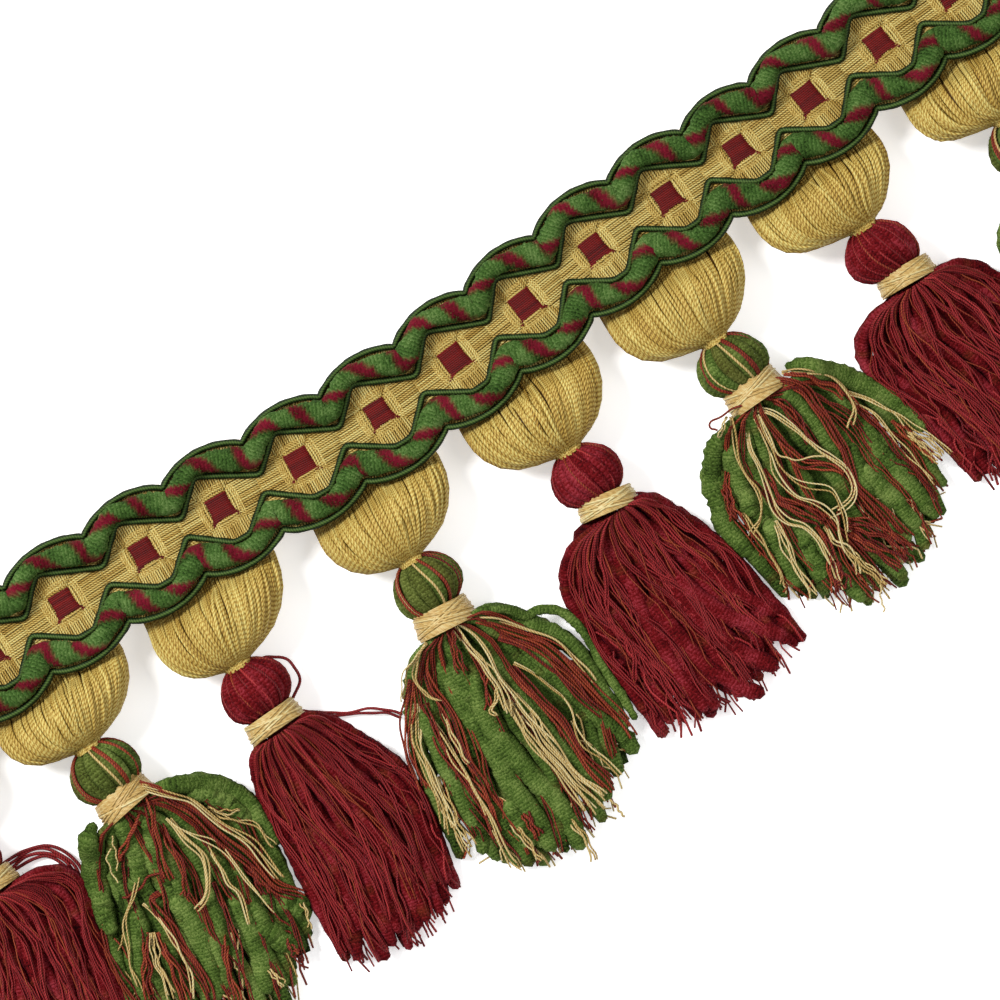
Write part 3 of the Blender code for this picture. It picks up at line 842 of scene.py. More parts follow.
def buildBorderCord(name, upper, seed, node):
    chance = np.random.default_rng(seed)
    bundle = newBundle()
    square = np.linspace(*headingCut["ends"], 3000)
    # it fills the band between the zigzag and the rim
    inner = np.interp(square, *zigzagLine(upper))
    outer = scallop(square, gimpCord["upperRim" if upper else "lowerRim"])
    line = onCloth(square, mix(inner, outer, 0.5), borderCord["lift"])
    line, way = evenRun(softened(line, 60), borderCord["step"])
    sides = borderCord["sides"]
    angle = 2 * np.pi * np.arange(sides) / sides
    # the burgundy strand of the cord winds round it and shows as slanting dashes
    turn = angle[None, :] + 2 * np.pi * way[:, None] / borderCord["spiral"]
    wound = np.cos(turn + 0.5 * np.sin(way[:, None] * 0.47)) - borderCord["dashes"]
    patch = np.clip((wound + chance.normal(0, 0.1, turn.shape)) * 3.5, 0, 1)
    marks = np.arange(0, way[-1] + 8, 4.0)
    drift = np.interp(way, marks, chance.uniform(0.2, 0.85, len(marks)))
    onSquare = np.interp(line[:, 0], squaresAt[:, 0], np.arange(float(len(squaresAt))))
    band = np.interp(onSquare, square, np.abs(outer - inner))
    full = np.clip(0.43 * band - 0.7, borderCord["least"], borderCord["most"])
    radius = full * (1 + 0.03 * chance.normal(0, 1, len(way)))
    # a dent runs beside the burgundy strand, darkened with painted shade
    dentAndShade = np.clip((np.cos(turn + 1.1) - 0.7) * 3.3, 0, 1)
    # painted shade: the tint is lowered along the dent
    tint = np.clip(drift[:, None] - 0.5 * dentAndShade, 0, 1)
    ring = addStrand(bundle, line, radius, sides, tint=tint, patch=patch, rough=0.06, chance=chance,
                     flat=borderCord["flat"])
    own = bundle["points"][0][:-2].reshape(len(line), sides, 3)
    own[:] = line[:, None, :] + (own - line[:, None, :]) * (1 - 0.09 * dentAndShade)[:, :, None]
    addTufts(bundle, ring, line, borderCord["tufts"], 0.4, chance, tint=0.55)
    return finishBundle(name, bundle, [borderPile], replaced=[node])


def buildGimpCord(name, square, across, seed, node):
    chance = np.random.default_rng(seed)
    bundle = newBundle()
    line, way = evenRun(softened(onCloth(square, across, gimpCord["lift"]), 6), gimpCord["step"])
    sides = gimpCord["sides"]
    angle = 2 * np.pi * np.arange(sides) / sides
    # painted highlight along the crown, painted shade at both sides
    crownLitSidesShaded = np.tile(0.95 * (0.5 + 0.5 * np.sin(angle)) ** 8, (len(way), 1))
    turn = angle[None, :] + 2 * np.pi * way[:, None] / gimpCord["twist"]
    ridges = 0.07 * np.cos(gimpCord["plies"] * turn)
    addStrand(bundle, line, gimpCord["radius"], sides, tint=crownLitSidesShaded, rough=0.04, chance=chance)
    own = bundle["points"][0][:-2].reshape(len(line), sides, 3)
    own += (own - line[:, None, :]) * ridges[:, :, None]
    return finishBundle(name, bundle, [gimpGreen], replaced=[node])


cloth = buildHeadingCloth()
goldThreads = buildGoldThreads()
redSquares = buildRedSquares()
buildBorderCord("upper_chenille_border", True, 21, "chenille_cord_upper")
buildBorderCord("lower_chenille_border", False, 22, "chenille_cord_lower")
rimSquare = np.linspace(*headingCut["ends"], 2600)
buildGimpCord("upper_rim_cord", rimSquare, scallop(rimSquare, gimpCord["upperRim"]), 31, "rim_gimp_upper")
buildGimpCord("lower_rim_cord", rimSquare, scallop(rimSquare, gimpCord["lowerRim"]), 32, "rim_gimp_lower")
buildGimpCord("upper_zigzag_cord", *zigzagLine(True), 33, "zigzag_gimp_upper")
buildGimpCord("lower_zigzag_cord", *zigzagLine(False), 34, "zigzag_gimp_lower")
print("heading is sewn")

ballYarn = {
    "halfWidth": 15.3, "threads": 76, "upperThreads": 22, "underThreads": 18, "radius": 0.375,
    "rings": 13, "skeins": 11, "coreSides": 28, "coreRings": 26,
    # how far down from the neck, width, lowest and highest point of each section
    "sections": ((0.0, 0.22, 4.6, 9.8), (0.07, 0.48, 2.5, 11.8), (0.22, 0.73, 0.4, 13.7),
                 (0.46, 0.91, -0.5, 14.8), (0.7, 0.99, -0.5, 13.9), (0.87, 1.0, -0.5, 11.2)),
    "roots": ((-13.4, 1.0), (-10.0, 0.97), (-7.0, 0.91), (-4.6, 0.84)),
    # no two balls are gathered alike: how far the lower half leans along the trim, and how full it is
    "lean": {"green_1": -1.0, "red_3": -0.8, "green_3": -1.6, "red_4": -2.2, "green_4": -2.2},
    "full": {"red_2": 0.98, "green_2": 0.955},
}


def ballStations(unit):
    # x, y, half width, lowest and highest point, from the head's top to under the heading
    neckY = unit["headY"] + 7.34
    middle = float(middleHeightAt(unit["ballX"]))
    lean = ballYarn["lean"].get(unit["name"], -0.3)
    halfWidth = ballYarn["halfWidth"] * ballYarn["full"].get(unit["name"], 1.0)
    rows = [(unit["headX"], neckY - 1.7, 2.5, 4.4, 11.9)]
    for share, width, low, high in ballYarn["sections"]:
        sideways = lean * min(share / 0.2, 1.0) * (1 - share) + 0.6 * share
        rows.append((mix(unit["headX"], unit["ballX"], math.sqrt(share)) + sideways,
                     mix(neckY, middle - 13.4, share), halfWidth * width, low, high))
    for across, width in ballYarn["roots"]:
        high = float(backHeight(across)) - 0.7
        rows.append((unit["ballX"] + 0.6, middle + across, halfWidth * width, 0.0, high))
    return smoothLine(rows, 66)


def onBall(stations, place, angle, lift):
    at = np.clip(place, 0.0, 1.0) * (len(stations) - 1)
    x, y, half, low, high = (np.interp(at, np.arange(len(stations)), stations[:, k]) for k in range(5))
    low = np.maximum(low, 0.0)
    tall = (high - low) / 2
    return np.column_stack((
        x + (half + lift) * np.sin(angle), y, low + tall + (tall + lift) * np.cos(angle),
    ))


def evenAngles(shares):
    # angles that stand evenly along the ball's flattened round, from one side of the table to the other
    angle = np.radians(np.linspace(-118, 118, 400))
    step = np.hypot(15.3 * np.cos(angle), 7.5 * np.sin(angle))
    way = np.cumsum(step)
    return np.interp(shares, (way - way[0]) / (way[-1] - way[0]), angle)


def buildBall(unit, seed):
    chance = np.random.default_rng(seed)
    bundle = newBundle()
    stations = ballStations(unit)
    sides = ballYarn["coreSides"]
    turn = np.pi / 2 - 2 * np.pi * np.arange(sides) / sides
    core = np.stack([
        onBall(stations, np.full(sides, place), turn, -0.7)
        for place in np.linspace(0.06, 1.0, ballYarn["coreRings"])
    ])
    tips = core[[0, -1]].mean(axis=1) + np.array(((0, -0.2, 0), (0, 0.2, 0)))
    # the core under the threads is painted dark, as shade between them
    addSkin(bundle, core, tips, tint=-1.0, mapped=0.0)
    count = ballYarn["rings"]
    place = np.linspace(0.02, 0.97, count)
    skeins = ballYarn["skeins"]
    swing, swingStart = math.radians(chance.uniform(2, 4)), chance.uniform(0, 6)
    skeinTint = chance.uniform(0.3, 0.66, skeins)
    lean = chance.normal(0.0, math.radians(6))
    total = ballYarn["threads"]
    thin = mix(0.5, 1.0, np.clip(place * 4.5, 0, 1))
    for index in range(total):
        share = index / (total - 1)
        skein = min(int(share * skeins + chance.normal(0, 0.12)), skeins - 1)
        start = evenAngles(share) + chance.normal(0, 0.004)
        swirl = swing * math.sin(share * 8 + swingStart) + lean + chance.normal(0, 0.006)
        angle = start + swirl * np.sin(np.pi * (0.05 + 0.85 * place)) + 0.006 * ripple(chance, place, 2)
        lift = -0.3 + 0.16 * chance.random() + 0.06 * ripple(chance, place, 1.5)
        # skeins part here and there, and the gap between them is dark with the painted shade of the core below
        edge = abs(share * skeins - round(share * skeins))
        lift = lift - 0.3 * max(0.0, 1 - edge / 0.12)
        line = onBall(stations, place, angle, lift)
        addStrand(bundle, line, ballYarn["radius"] * thin, 5, tint=anyTint(chance, skeinTint[skein], 0.14),
                  away=outward(angle), phase=chance.uniform(0, 1))
    for index in range(ballYarn["upperThreads"]):
        # a second, looser layer crosses the first
        start = float(evenAngles(chance.uniform(0.12, 0.88)))
        swirl = math.radians(chance.normal(0, 15))
        first, last = chance.uniform(0.0, 0.12), chance.uniform(0.75, 0.97)
        part = np.linspace(first, last, count)
        angle = start + swirl * (part - 0.5) + lean * np.sin(np.pi * part)
        lift = -0.25 + 0.42 * np.sin(np.pi * np.linspace(0, 1, count)) ** 0.6 * chance.uniform(0.7, 1.0)
        line = onBall(stations, part, angle, lift)
        slim = mix(0.5, 0.95, np.clip(part * 4.5, 0, 1))
        addStrand(bundle, line, ballYarn["radius"] * slim, 5, tint=anyTint(chance, 0.58, 0.17),
                  away=outward(angle), phase=chance.uniform(0, 1))
    for index in range(ballYarn["underThreads"]):
        angle = np.full(count, math.radians(mix(118, 242, index / (ballYarn["underThreads"] - 1))))
        line = onBall(stations, place, angle, -0.45)
        addStrand(bundle, line, 0.7, 4, tint=anyTint(chance, 0.4, 0.12), away=outward(angle))
    finishBundle("ball_yarn_" + unit["name"], bundle, [goldBall],
                 replaced=["ball_" + unit["name"]])


for number, unit in enumerate(hangings.values()):
    buildBall(unit, 100 + number)
print("balls are gathered")

tasselYarn = {
    "headRadius": 7.2, "headHeight": 7.0, "headTaper": 0.2,
    # layer -1 lies on the table and 1 on top; strands, thickness, shortest and longest reach
    "chenille": ((-0.95, 10, 1.75, 0.93, 1.01), (-0.1, 10, 1.65, 0.93, 1.02), (0.78, 10, 1.7, 0.88, 1.01)),
    "chenilleRings": 34, "chenilleTufts": 115,
}
# which material of a tassel is which
pileSlot, rustSlot, fineSlot = 0, 1, 2


def headPoint(unit, way, angle, radius):
    # way 0 at the ball to 1 in the collar, angle 0 on top, growing to the right
    polar = np.radians(mix(10.0, 152.0, way))
    radius = radius * (1 - tasselYarn["headTaper"] * np.clip((way - 0.64) / 0.36, 0, 1))
    x = mix(unit["headX"], unit["collarX"], np.clip(-np.cos(polar), 0, 1))
    x = x + radius * np.sin(polar) * np.sin(angle)
    y = unit["headY"] + radius * np.cos(polar)
    z = tasselYarn["headHeight"] + radius * np.sin(polar) * np.cos(angle)
    return np.column_stack((x, y, z))


def buildHead(bundle, unit, chance, yarn):
    ways = np.linspace(0.0, 1.03, 13)
    polar = np.radians(np.linspace(14, 152, 12))
    heart = np.column_stack((
        np.linspace(unit["headX"], unit["collarX"], 12), unit["headY"] + 5.9 * np.cos(polar),
        np.full(12, tasselYarn["headHeight"]),
    ))
    # the heart under the lobes is painted a little darker, as shade between them
    addStrand(bundle, heart, 6.0 * np.sin(polar), 16, tint=0.2, slot=pileSlot, mapped=0.0)
    lobes = yarn["lobes"]
    for index in range(lobes):
        angle = 2 * np.pi * (index + chance.uniform(-0.2, 0.2)) / lobes
        angle = angle + 0.45 * (ways - 0.5) * chance.uniform(0.5, 1.2) + 0.2
        radius = yarn["lobesRound"] / lobes * (0.4 + 0.6 * np.sin(np.pi * np.clip(ways, 0, 1)))
        radius = radius * chance.uniform(0.88, 1.08)
        line = headPoint(unit, ways, angle, tasselYarn["headRadius"] + 0.15 - 0.85 * radius.max())
        ring = addStrand(bundle, line, radius, 8, tint=chance.uniform(0.25, 0.8), slot=pileSlot,
                         away=outward(angle), rough=0.08, chance=chance,
                         patch=chance.uniform(0, 0.2) if unit["kind"] == "green" else 0.0)
        addTufts(bundle, ring, line, 900 // lobes, 0.45, chance, slot=pileSlot, thick=0.09)
    for threadSlot, angles, plies in yarn["headThreads"]:
        for start in angles:
            for ply in range(plies):
                angle = math.radians(start) + 0.07 * ply + 0.5 * (ways - 0.5) + 0.06 * chance.normal()
                line = headPoint(unit, ways, angle, tasselYarn["headRadius"] + 0.04)
                addStrand(bundle, line, 0.27, 5, tint=anyTint(chance, 0.5, 0.2), slot=threadSlot,
                          away=outward(angle))


def wandering(chance, steps, size, waves):
    # a slow seeded sway, nothing at the start
    sway = np.zeros_like(steps)
    for wave in waves:
        sway += ripple(chance, steps, wave) * chance.uniform(0.5, 1.0)
    return size * sway * np.clip(steps * 4, 0, 1)


def buildSkirt(bundle, unit, chance, flecking, shorter):
    # a heart painted dark, as shade inside the bell, fills it, so that no gap shows the table through it
    along = np.linspace(0.0, 0.78, 18)
    heart = inSkirt(unit, 0.0, 0.0, along)
    width = (edgeAt(unit, "right", along) - edgeAt(unit, "left", along)) / 2
    depth = skirtDepth(0.0, along)
    heart[:, 2] = np.maximum(heart[:, 2] - 0.6, 0.36 * depth)
    thin = 0.33 * depth * mix(1.0, 0.35, np.clip((along - 0.2) / 0.5, 0, 1))
    heart[:, 2] = mix(heart[:, 2], 1.3 + thin, np.clip((along - 0.3) / 0.3, 0, 1))
    width = width * mix(0.86, 0.78, np.clip((along - 0.5) / 0.28, 0, 1))
    addStrand(bundle, heart, width, 20, tint=0.0, slot=pileSlot, mapped=0.0,
              flat=np.clip(thin / width, 0.03, 0.8), blunt=0.02)
    rings = tasselYarn["chenilleRings"]
    steps = np.linspace(0.0, 1.0, rings)
    for layer, count, thick, shortest, longest in tasselYarn["chenille"]:
        for index in range(count):
            outermost = index in (0, count - 1)
            side = mix(-1.0, 1.0, index / (count - 1)) + (0.0 if outermost else chance.uniform(-0.06, 0.06))
            reach = chance.uniform(shortest, longest) - (0.0 if outermost else shorter)
            along = steps**1.12 * reach
            full = thick * chance.uniform(0.85, 1.12)
            radius = full * mix(0.4, 1.0, np.clip(steps / 0.26, 0, 1) ** 0.8)
            radius = radius * (1 + 0.10 * ripple(chance, steps, 7) + 0.07 * chance.normal(0, 1, rings))
            radius = radius * mix(1.0, 0.62, np.clip((steps - 0.93) / 0.07, 0, 1))
            sway = wandering(chance, steps, 0.045, (0.8, 1.9)) + wandering(chance, steps, 0.012, (6.0,))
            sway = sway * (0.3 if outermost else 1.0)
            sides = np.clip(side + sway, -1.0, 1.0)
            layers = np.clip(layer + wandering(chance, steps, 0.10, (1.3, 3.1)), -1.0, 1.0)
            line = inSkirt(unit, sides, layers, along, radius * 0.9)
            tint = np.clip(chance.uniform(0.2, 0.75) + 0.22 * ripple(chance, steps, 2.5), 0, 1)
            flecks = np.clip(ripple(chance, along, chance.uniform(4, 8)) * 5 - 4.2, 0, 1)
            ring = addStrand(bundle, line, radius, 8, tint=tint, slot=pileSlot, flat=0.92,
                             rough=0.15, chance=chance, patch=flecks * flecking)
            addTufts(bundle, ring, line, tasselYarn["chenilleTufts"], 0.65, chance, slot=pileSlot,
                     thick=0.1)


def layThreads(bundle, unit, chance, slot, count, plies, radius, layers=(0.9, 1.08), crossing=0.3,
               starts=(0.0, 0.0), reaches=(0.75, 1.02), rings=21, spread=0.03, tint=0.5):
    # thin threads from the collar, or from inside the skirt, singly or a few side by side
    steps = np.linspace(0.0, 1.0, rings)
    for index in range(count):
        side = mix(-0.94, 0.94, (index + chance.uniform(0.1, 0.9)) / count)
        end = np.clip(side + chance.normal(0.0, crossing), -0.97, 0.97)
        start, reach = chance.uniform(*starts), chance.uniform(*reaches)
        along = start + (reach - start) * steps**1.1
        sway = wandering(chance, steps, 0.05, (0.9, 2.1))
        layer = chance.uniform(*layers)
        for ply in range(plies):
            offset = (ply - (plies - 1) / 2) * spread * (1 + 0.6 * wandering(chance, steps, 1.0, (1.4,)))
            sides = mix(side, end, steps) + sway + offset + wandering(chance, steps, 0.008, (5.0, 9.0))
            sides = np.clip(sides, -0.99, 0.99)
            depths = layer + wandering(chance, steps, 0.03, (2.5,))
            lines = inSkirt(unit, sides, depths, along * (1 - 0.05 * chance.random()), radius)
            lines[:, 2] += 0.3 * (ply % 2)
            addStrand(bundle, lines, radius * chance.uniform(0.85, 1.15), 4, slot=slot,
                      tint=np.clip(chance.normal(tint, 0.22), 0, 1), phase=chance.uniform(0, 1))


# Strands that stand out in a skirt, laid one by one: how many threads side by side, or a chenille's radius,
# and the places in the 1000 by 1000 picture that the strand passes.
laidByHand = {
    "red_1": {
        "stray": (
            (4, 0.36, 0.6, (-14, 880), (-2, 874), (10, 866), (24, 857), (42, 853), (58, 858), (71, 869),
             (79, 886)),
        ),
    },
    "red_2": {
        "stray": (
            (1, 0.32, 3.0, (256, 662), (266, 657), (277, 657), (288, 661), (295, 669), (298, 679),
             (297, 689), (292, 699)),
            (2, 0.3, 1.0, (300, 712), (322, 715), (345, 715), (368, 712), (386, 712), (401, 717)),
        ),
    },
    "red_3": {
        "chenille": (
            (1.9, (668, 560), (690, 590), (722, 613), (752, 626), (784, 636)),
            (1.9, (662, 572), (684, 606), (712, 632), (742, 652), (776, 668)),
            (1.8, (690, 556), (718, 580), (744, 598), (776, 612)),
            (1.8, (650, 590), (674, 630), (700, 660), (732, 682), (762, 694)),
            (1.7, (622, 560), (640, 606), (664, 650), (690, 690), (706, 708)),
        ),
        "stray": (
            (3, 0.24, 2.0, (634, 496), (645, 495), (655, 496), (664, 500), (671, 507), (676, 515)),
        ),
    },
    "green_2": {
        "chenille": (
            (1.0, (475, 614), (490, 610), (503, 609), (514, 611), (526, 616), (537, 611), (556, 611),
             (570, 617), (583, 630),
             (592, 646), (598, 660), (610, 678), (626, 701), (636, 719)),
            (2.3, (438, 635), (442, 662), (451, 680), (462, 703), (473, 721), (485, 742), (499, 762),
             (511, 783), (526, 805), (541, 829), (553, 848)),
            (2.2, (470, 655), (474, 680), (481, 704), (492, 731), (507, 749), (526, 768), (542, 787),
             (559, 805), (574, 829), (581, 847)),
            (1.9, (452, 640), (456, 662), (463, 684), (473, 703)),
            (1.7, (512, 620), (534, 627), (554, 632), (570, 644), (583, 660), (596, 682), (612, 706),
             (626, 728)),
            (1.8, (507, 680), (526, 704), (544, 727), (563, 749), (582, 768), (600, 788), (609, 797)),
            (2.0, (511, 643), (529, 652), (548, 669), (563, 690), (582, 704), (600, 719), (619, 734),
             (636, 751)),
            (1.8, (420, 700), (428, 726), (438, 750), (450, 776), (462, 800), (474, 826)),
            (2.0, (505, 800), (514, 815), (524, 832), (530, 846)),
        ),
        "rust": (
            (4, (449, 626), (453, 641), (457, 656), (464, 675)),
            (4, (427, 650), (425, 671), (432, 688), (443, 701), (453, 719), (462, 742), (470, 762),
             (483, 783), (496, 807)),
            (5, (412, 680), (409, 704), (406, 731), (410, 757), (419, 779), (428, 798)),
            (4, (425, 704), (434, 727), (443, 749), (456, 768), (470, 787), (484, 807), (492, 824),
             (501, 841)),
            (3, (483, 665), (486, 682), (488, 701), (490, 712)),
            (5, (477, 619), (499, 626), (522, 635), (544, 643), (563, 656), (578, 671), (593, 688),
             (610, 706), (626, 723), (637, 742)),
            (5, (499, 637), (518, 643), (541, 656), (559, 671), (574, 686), (591, 704), (615, 723)),
            (5, (511, 667), (526, 686), (541, 701), (559, 719), (574, 742), (589, 762), (604, 779),
             (617, 794)),
            (4, (524, 811), (531, 824), (542, 841)),
            (3, (455, 760), (470, 780), (486, 802), (498, 824)),
        ),
        "cream": (
            (4, (453, 625), (470, 647), (483, 663), (492, 675), (499, 688), (507, 704), (511, 719)),
            (2, (458, 623), (475, 635), (488, 652), (499, 675), (514, 693), (529, 712), (544, 729),
             (559, 747), (574, 770), (593, 787), (608, 798)),
            (10, (511, 697), (526, 719), (533, 731), (544, 747), (559, 764), (574, 781), (591, 798),
             (604, 815)),
            (2, (427, 643), (416, 656), (407, 671), (403, 690), (402, 705)),
            (2, (426, 642), (417, 660), (416, 675), (421, 690), (430, 697), (444, 704)),
            (5, (416, 704), (416, 731), (419, 749), (429, 772), (438, 794), (445, 815), (451, 841)),
            (3, (430, 719), (444, 738), (455, 760), (468, 779), (477, 794), (488, 815), (499, 839),
             (511, 861), (524, 874)),
            (2, (442, 710), (451, 731), (462, 755), (470, 768)),
            (6, (436, 778), (444, 800), (452, 818), (461, 834), (472, 852)),
            (2, (514, 663), (533, 673), (552, 688), (563, 697), (572, 710), (576, 727), (582, 740),
             (589, 749), (604, 759), (617, 772), (621, 777)),
            (2, (479, 618), (499, 620), (526, 628), (548, 637), (563, 647), (578, 662), (589, 675),
             (600, 688)),
            (2, (499, 678), (496, 693), (492, 710), (499, 716)),
            (3, (511, 824), (522, 835), (533, 850), (542, 863)),
            (3, (568, 818), (578, 829), (589, 846), (596, 863)),
            (1, (610, 800), (619, 809), (624, 817)),
        ),
    },
    "green_3": {
        "chenille": (
            (2.3, (786, 366), (811, 367), (832, 372), (853, 380), (873, 387), (891, 398), (908, 412),
             (924, 428)),
            (2.0, (775, 386), (790, 398), (804, 410), (814, 424), (828, 440), (839, 454)),
            (2.3, (856, 417), (870, 438), (884, 457), (899, 474), (915, 492), (930, 509)),
            (2.1, (856, 461), (870, 478), (887, 492), (901, 507), (917, 526)),
            (2.2, (721, 433), (714, 450), (712, 473), (716, 495), (723, 516), (735, 537), (749, 554)),
            (2.1, (728, 443), (735, 464), (745, 492), (754, 513)),
            (2.0, (764, 516), (776, 537), (787, 559), (799, 585)),
            (2.3, (797, 533), (811, 551), (821, 568), (827, 582)),
            (1.8, (846, 440), (858, 470), (868, 500)),
        ),
        "rust": (
            (5, (768, 381), (787, 383), (804, 391), (814, 405), (825, 419), (835, 435), (844, 450),
             (851, 471), (856, 485), (870, 500),
             (884, 514), (898, 532), (913, 545)),
            (3, (783, 374), (804, 376), (821, 383), (837, 391), (846, 400)),
            (4, (769, 400), (781, 405), (794, 417), (804, 433), (813, 450)),
            (4, (766, 422), (775, 436), (787, 450), (801, 464), (818, 464), (832, 467), (847, 474)),
            (6, (761, 471), (769, 485), (778, 500), (794, 509), (811, 516), (825, 525)),
            (6, (847, 523), (865, 526), (882, 533), (899, 544), (911, 556)),
            (6, (851, 533), (868, 544), (887, 554), (906, 568)),
            (4, (818, 526), (827, 542), (832, 561), (835, 580), (837, 601)),
            (4, (833, 559), (842, 573), (847, 591)),
            (4, (724, 485), (731, 504), (738, 521)),
            (3, (851, 403), (870, 417), (887, 436), (901, 454), (918, 471), (939, 493)),
            (4, (894, 419), (908, 433), (925, 448), (943, 467)),
            (1, (768, 397), (752, 401), (736, 407), (723, 414), (712, 421), (711, 428), (716, 431)),
        ),
        "cream": (
            (2, (781, 373), (797, 371), (814, 373), (830, 378), (844, 388), (851, 398), (854, 410),
             (852, 422), (849, 431)),
            (3, (849, 393), (866, 398), (884, 407), (899, 415), (913, 428), (929, 436), (943, 447),
             (954, 456)),
            (6, (905, 430), (919, 440), (933, 450), (945, 462)),
            (2, (854, 402), (873, 412), (887, 428), (899, 443), (913, 459), (925, 471), (939, 488)),
            (3, (752, 409), (769, 412), (783, 419), (797, 429), (807, 440), (818, 450), (830, 457),
             (844, 467), (851, 480),
             (852, 493), (846, 504), (832, 514), (813, 524)),
            (2, (754, 419), (761, 434), (769, 454), (773, 471), (783, 485), (797, 497), (813, 502),
             (826, 509), (837, 521),
             (840, 535), (844, 551), (847, 559)),
            (2, (757, 415), (764, 433), (771, 447), (778, 464), (792, 478), (807, 485), (825, 488),
             (833, 493), (839, 504),
             (844, 516), (846, 533), (847, 545)),
            (1, (759, 417), (769, 438), (778, 454), (787, 457), (797, 459), (811, 458), (825, 457)),
            (2, (730, 417), (733, 433), (738, 457), (747, 476), (757, 490), (761, 504), (759, 519),
             (752, 530), (750, 537)),
            (2, (743, 513), (752, 526), (764, 544), (775, 561), (781, 578), (783, 587)),
            (3, (747, 433), (750, 450), (759, 467), (769, 492), (776, 509), (788, 521), (804, 526),
             (818, 539), (825, 552),
             (832, 566), (837, 580), (847, 591)),
            (4, (775, 521), (783, 539), (790, 554), (799, 571), (809, 587), (816, 599)),
            (4, (846, 547), (856, 558), (866, 568), (879, 577), (889, 585)),
            (2, (726, 417), (721, 429), (716, 441)),
            (3, (825, 526), (833, 539), (844, 547), (854, 561), (859, 577)),
            (1, (880, 585), (882, 600), (883, 612)),
        ),
    },
    "green_1": {
        "chenille": (
            (2.0, (150, 790), (170, 785), (191, 783), (211, 785), (228, 790), (243, 798), (252, 810),
             (262, 826), (276, 843)),
            (2.1, (184, 788), (200, 793), (216, 799), (232, 808), (246, 820)),
            (2.2, (116, 811), (126, 830), (135, 852), (140, 872), (133, 889)),
            (2.2, (94, 823), (90, 838), (90, 858), (93, 879), (98, 898), (103, 915), (110, 932)),
            (2.3, (170, 889), (180, 906), (194, 923), (203, 949), (211, 974), (216, 998)),
            (2.2, (133, 901), (135, 923), (138, 949), (141, 974), (146, 1000)),
            (2.4, (245, 899), (255, 915), (267, 932), (279, 940), (292, 952)),
            (2.7, (277, 901), (292, 906), (305, 915)),
            (2.2, (233, 889), (238, 909), (247, 928), (255, 947), (262, 971), (267, 991)),
            (1.9, (146, 812), (152, 836), (160, 860), (168, 882)),
        ),
        "rust": (
            (6, (140, 784), (160, 790), (177, 801), (194, 811), (211, 826), (228, 841), (245, 855),
             (259, 869), (271, 882),
             (281, 889), (296, 894), (306, 899)),
            (4, (143, 790), (150, 804), (153, 821), (157, 838), (160, 855), (167, 872), (172, 886)),
            (3, (162, 823), (170, 841), (177, 855), (184, 872), (186, 889), (184, 899)),
            (2, (141, 809), (133, 833), (123, 850), (118, 865)),
            (1, (165, 872), (150, 875), (141, 886), (131, 896), (123, 898)),
            (4, (163, 891), (152, 898), (157, 909), (170, 926), (180, 943), (194, 962), (208, 986),
             (213, 1006)),
            (4, (148, 933), (146, 950), (148, 966), (146, 983), (150, 1004)),
            (5, (157, 933), (167, 954), (177, 971), (184, 989), (190, 1008)),
            (3, (214, 882), (223, 903), (231, 926), (238, 949), (243, 974), (247, 994)),
            (3, (225, 933), (226, 954), (228, 971), (235, 988), (240, 1008)),
            (4, (245, 865), (259, 881), (269, 896)),
            (3, (284, 938), (292, 950), (298, 956)),
        ),
        "cream": (
            (4, (143, 786), (160, 790), (180, 796), (194, 802), (209, 813), (225, 826), (238, 835),
             (252, 845), (264, 858),
             (276, 874), (282, 882)),
            (2, (211, 809), (223, 816), (237, 821), (255, 826), (267, 838), (277, 848)),
            (2, (208, 807), (225, 812), (242, 810)),
            (3, (170, 819), (182, 833), (194, 845), (204, 858), (209, 872), (208, 886), (204, 901),
             (196, 913)),
            (2, (167, 818), (177, 826), (194, 833), (211, 841), (225, 852), (237, 865), (248, 882),
             (262, 899), (279, 916)),
            (2, (204, 841), (214, 855), (223, 869), (230, 882), (238, 892), (245, 911), (252, 935)),
            (1, (114, 835), (116, 852), (119, 870)),
            (1, (112, 848), (107, 858), (111, 870), (119, 882)),
            (2, (140, 860), (139, 875), (133, 896), (126, 913), (124, 928), (128, 949), (131, 966),
             (138, 981), (145, 1004)),
            (2, (143, 904), (157, 915), (170, 933), (179, 947), (186, 964), (191, 979), (193, 1004)),
            (4, (152, 933), (155, 950), (157, 964), (165, 979), (176, 1004)),
            (2, (298, 900), (304, 909), (308, 920), (310, 932)),
            (3, (268, 968), (277, 977), (284, 988)),
        ),
    },
}


# half the picture's width in its own dots, millimetres to a dot, and how far the trim is turned in it
picture = {"half": 500, "scale": 0.2, "turned": 34.4}


def inPicture(points):
    # places in the picture, turned into the layout
    half, scale = picture["half"], picture["scale"]
    points = np.asarray(points, float)
    right, up = (points[:, 0] - half) * scale, (half - points[:, 1]) * scale
    turn = math.radians(picture["turned"])
    return np.column_stack((
        right * math.cos(turn) + up * math.sin(turn), up * math.cos(turn) - right * math.sin(turn),
    ))


def skirtTopAt(unit, places):
    # how high the skirt lies at places of the layout
    x, y = places.T
    side = np.zeros(len(x))
    startY = unit["collarY"] - skirtHang["top"]
    for turn in range(6):
        fall = np.clip((startY - y) / (startY - unit["endY"] - unit["cornerRise"] * side**2), 0.0, 1.0)
        along = fall ** (1 / (1 + skirtHang["slack"] * side**2))
        left, right = edgeAt(unit, "left", along), edgeAt(unit, "right", along)
        side = np.clip((x - (left + right) / 2) / ((right - left) / 2), -1.0, 1.0)
    return inSkirt(unit, side, 1.0, along)[:, 2]


def acrossLine(line):
    ahead = unitRows(np.gradient(line, axis=0))
    return np.column_stack((-ahead[:, 1], ahead[:, 0]))


# threads laid one by one: material, thickness, lift above the skirt, distance from ply to ply
handThreads = (("rust", rustSlot, 0.25, 0.05, 0.46), ("cream", fineSlot, 0.21, 0.45, 0.42))


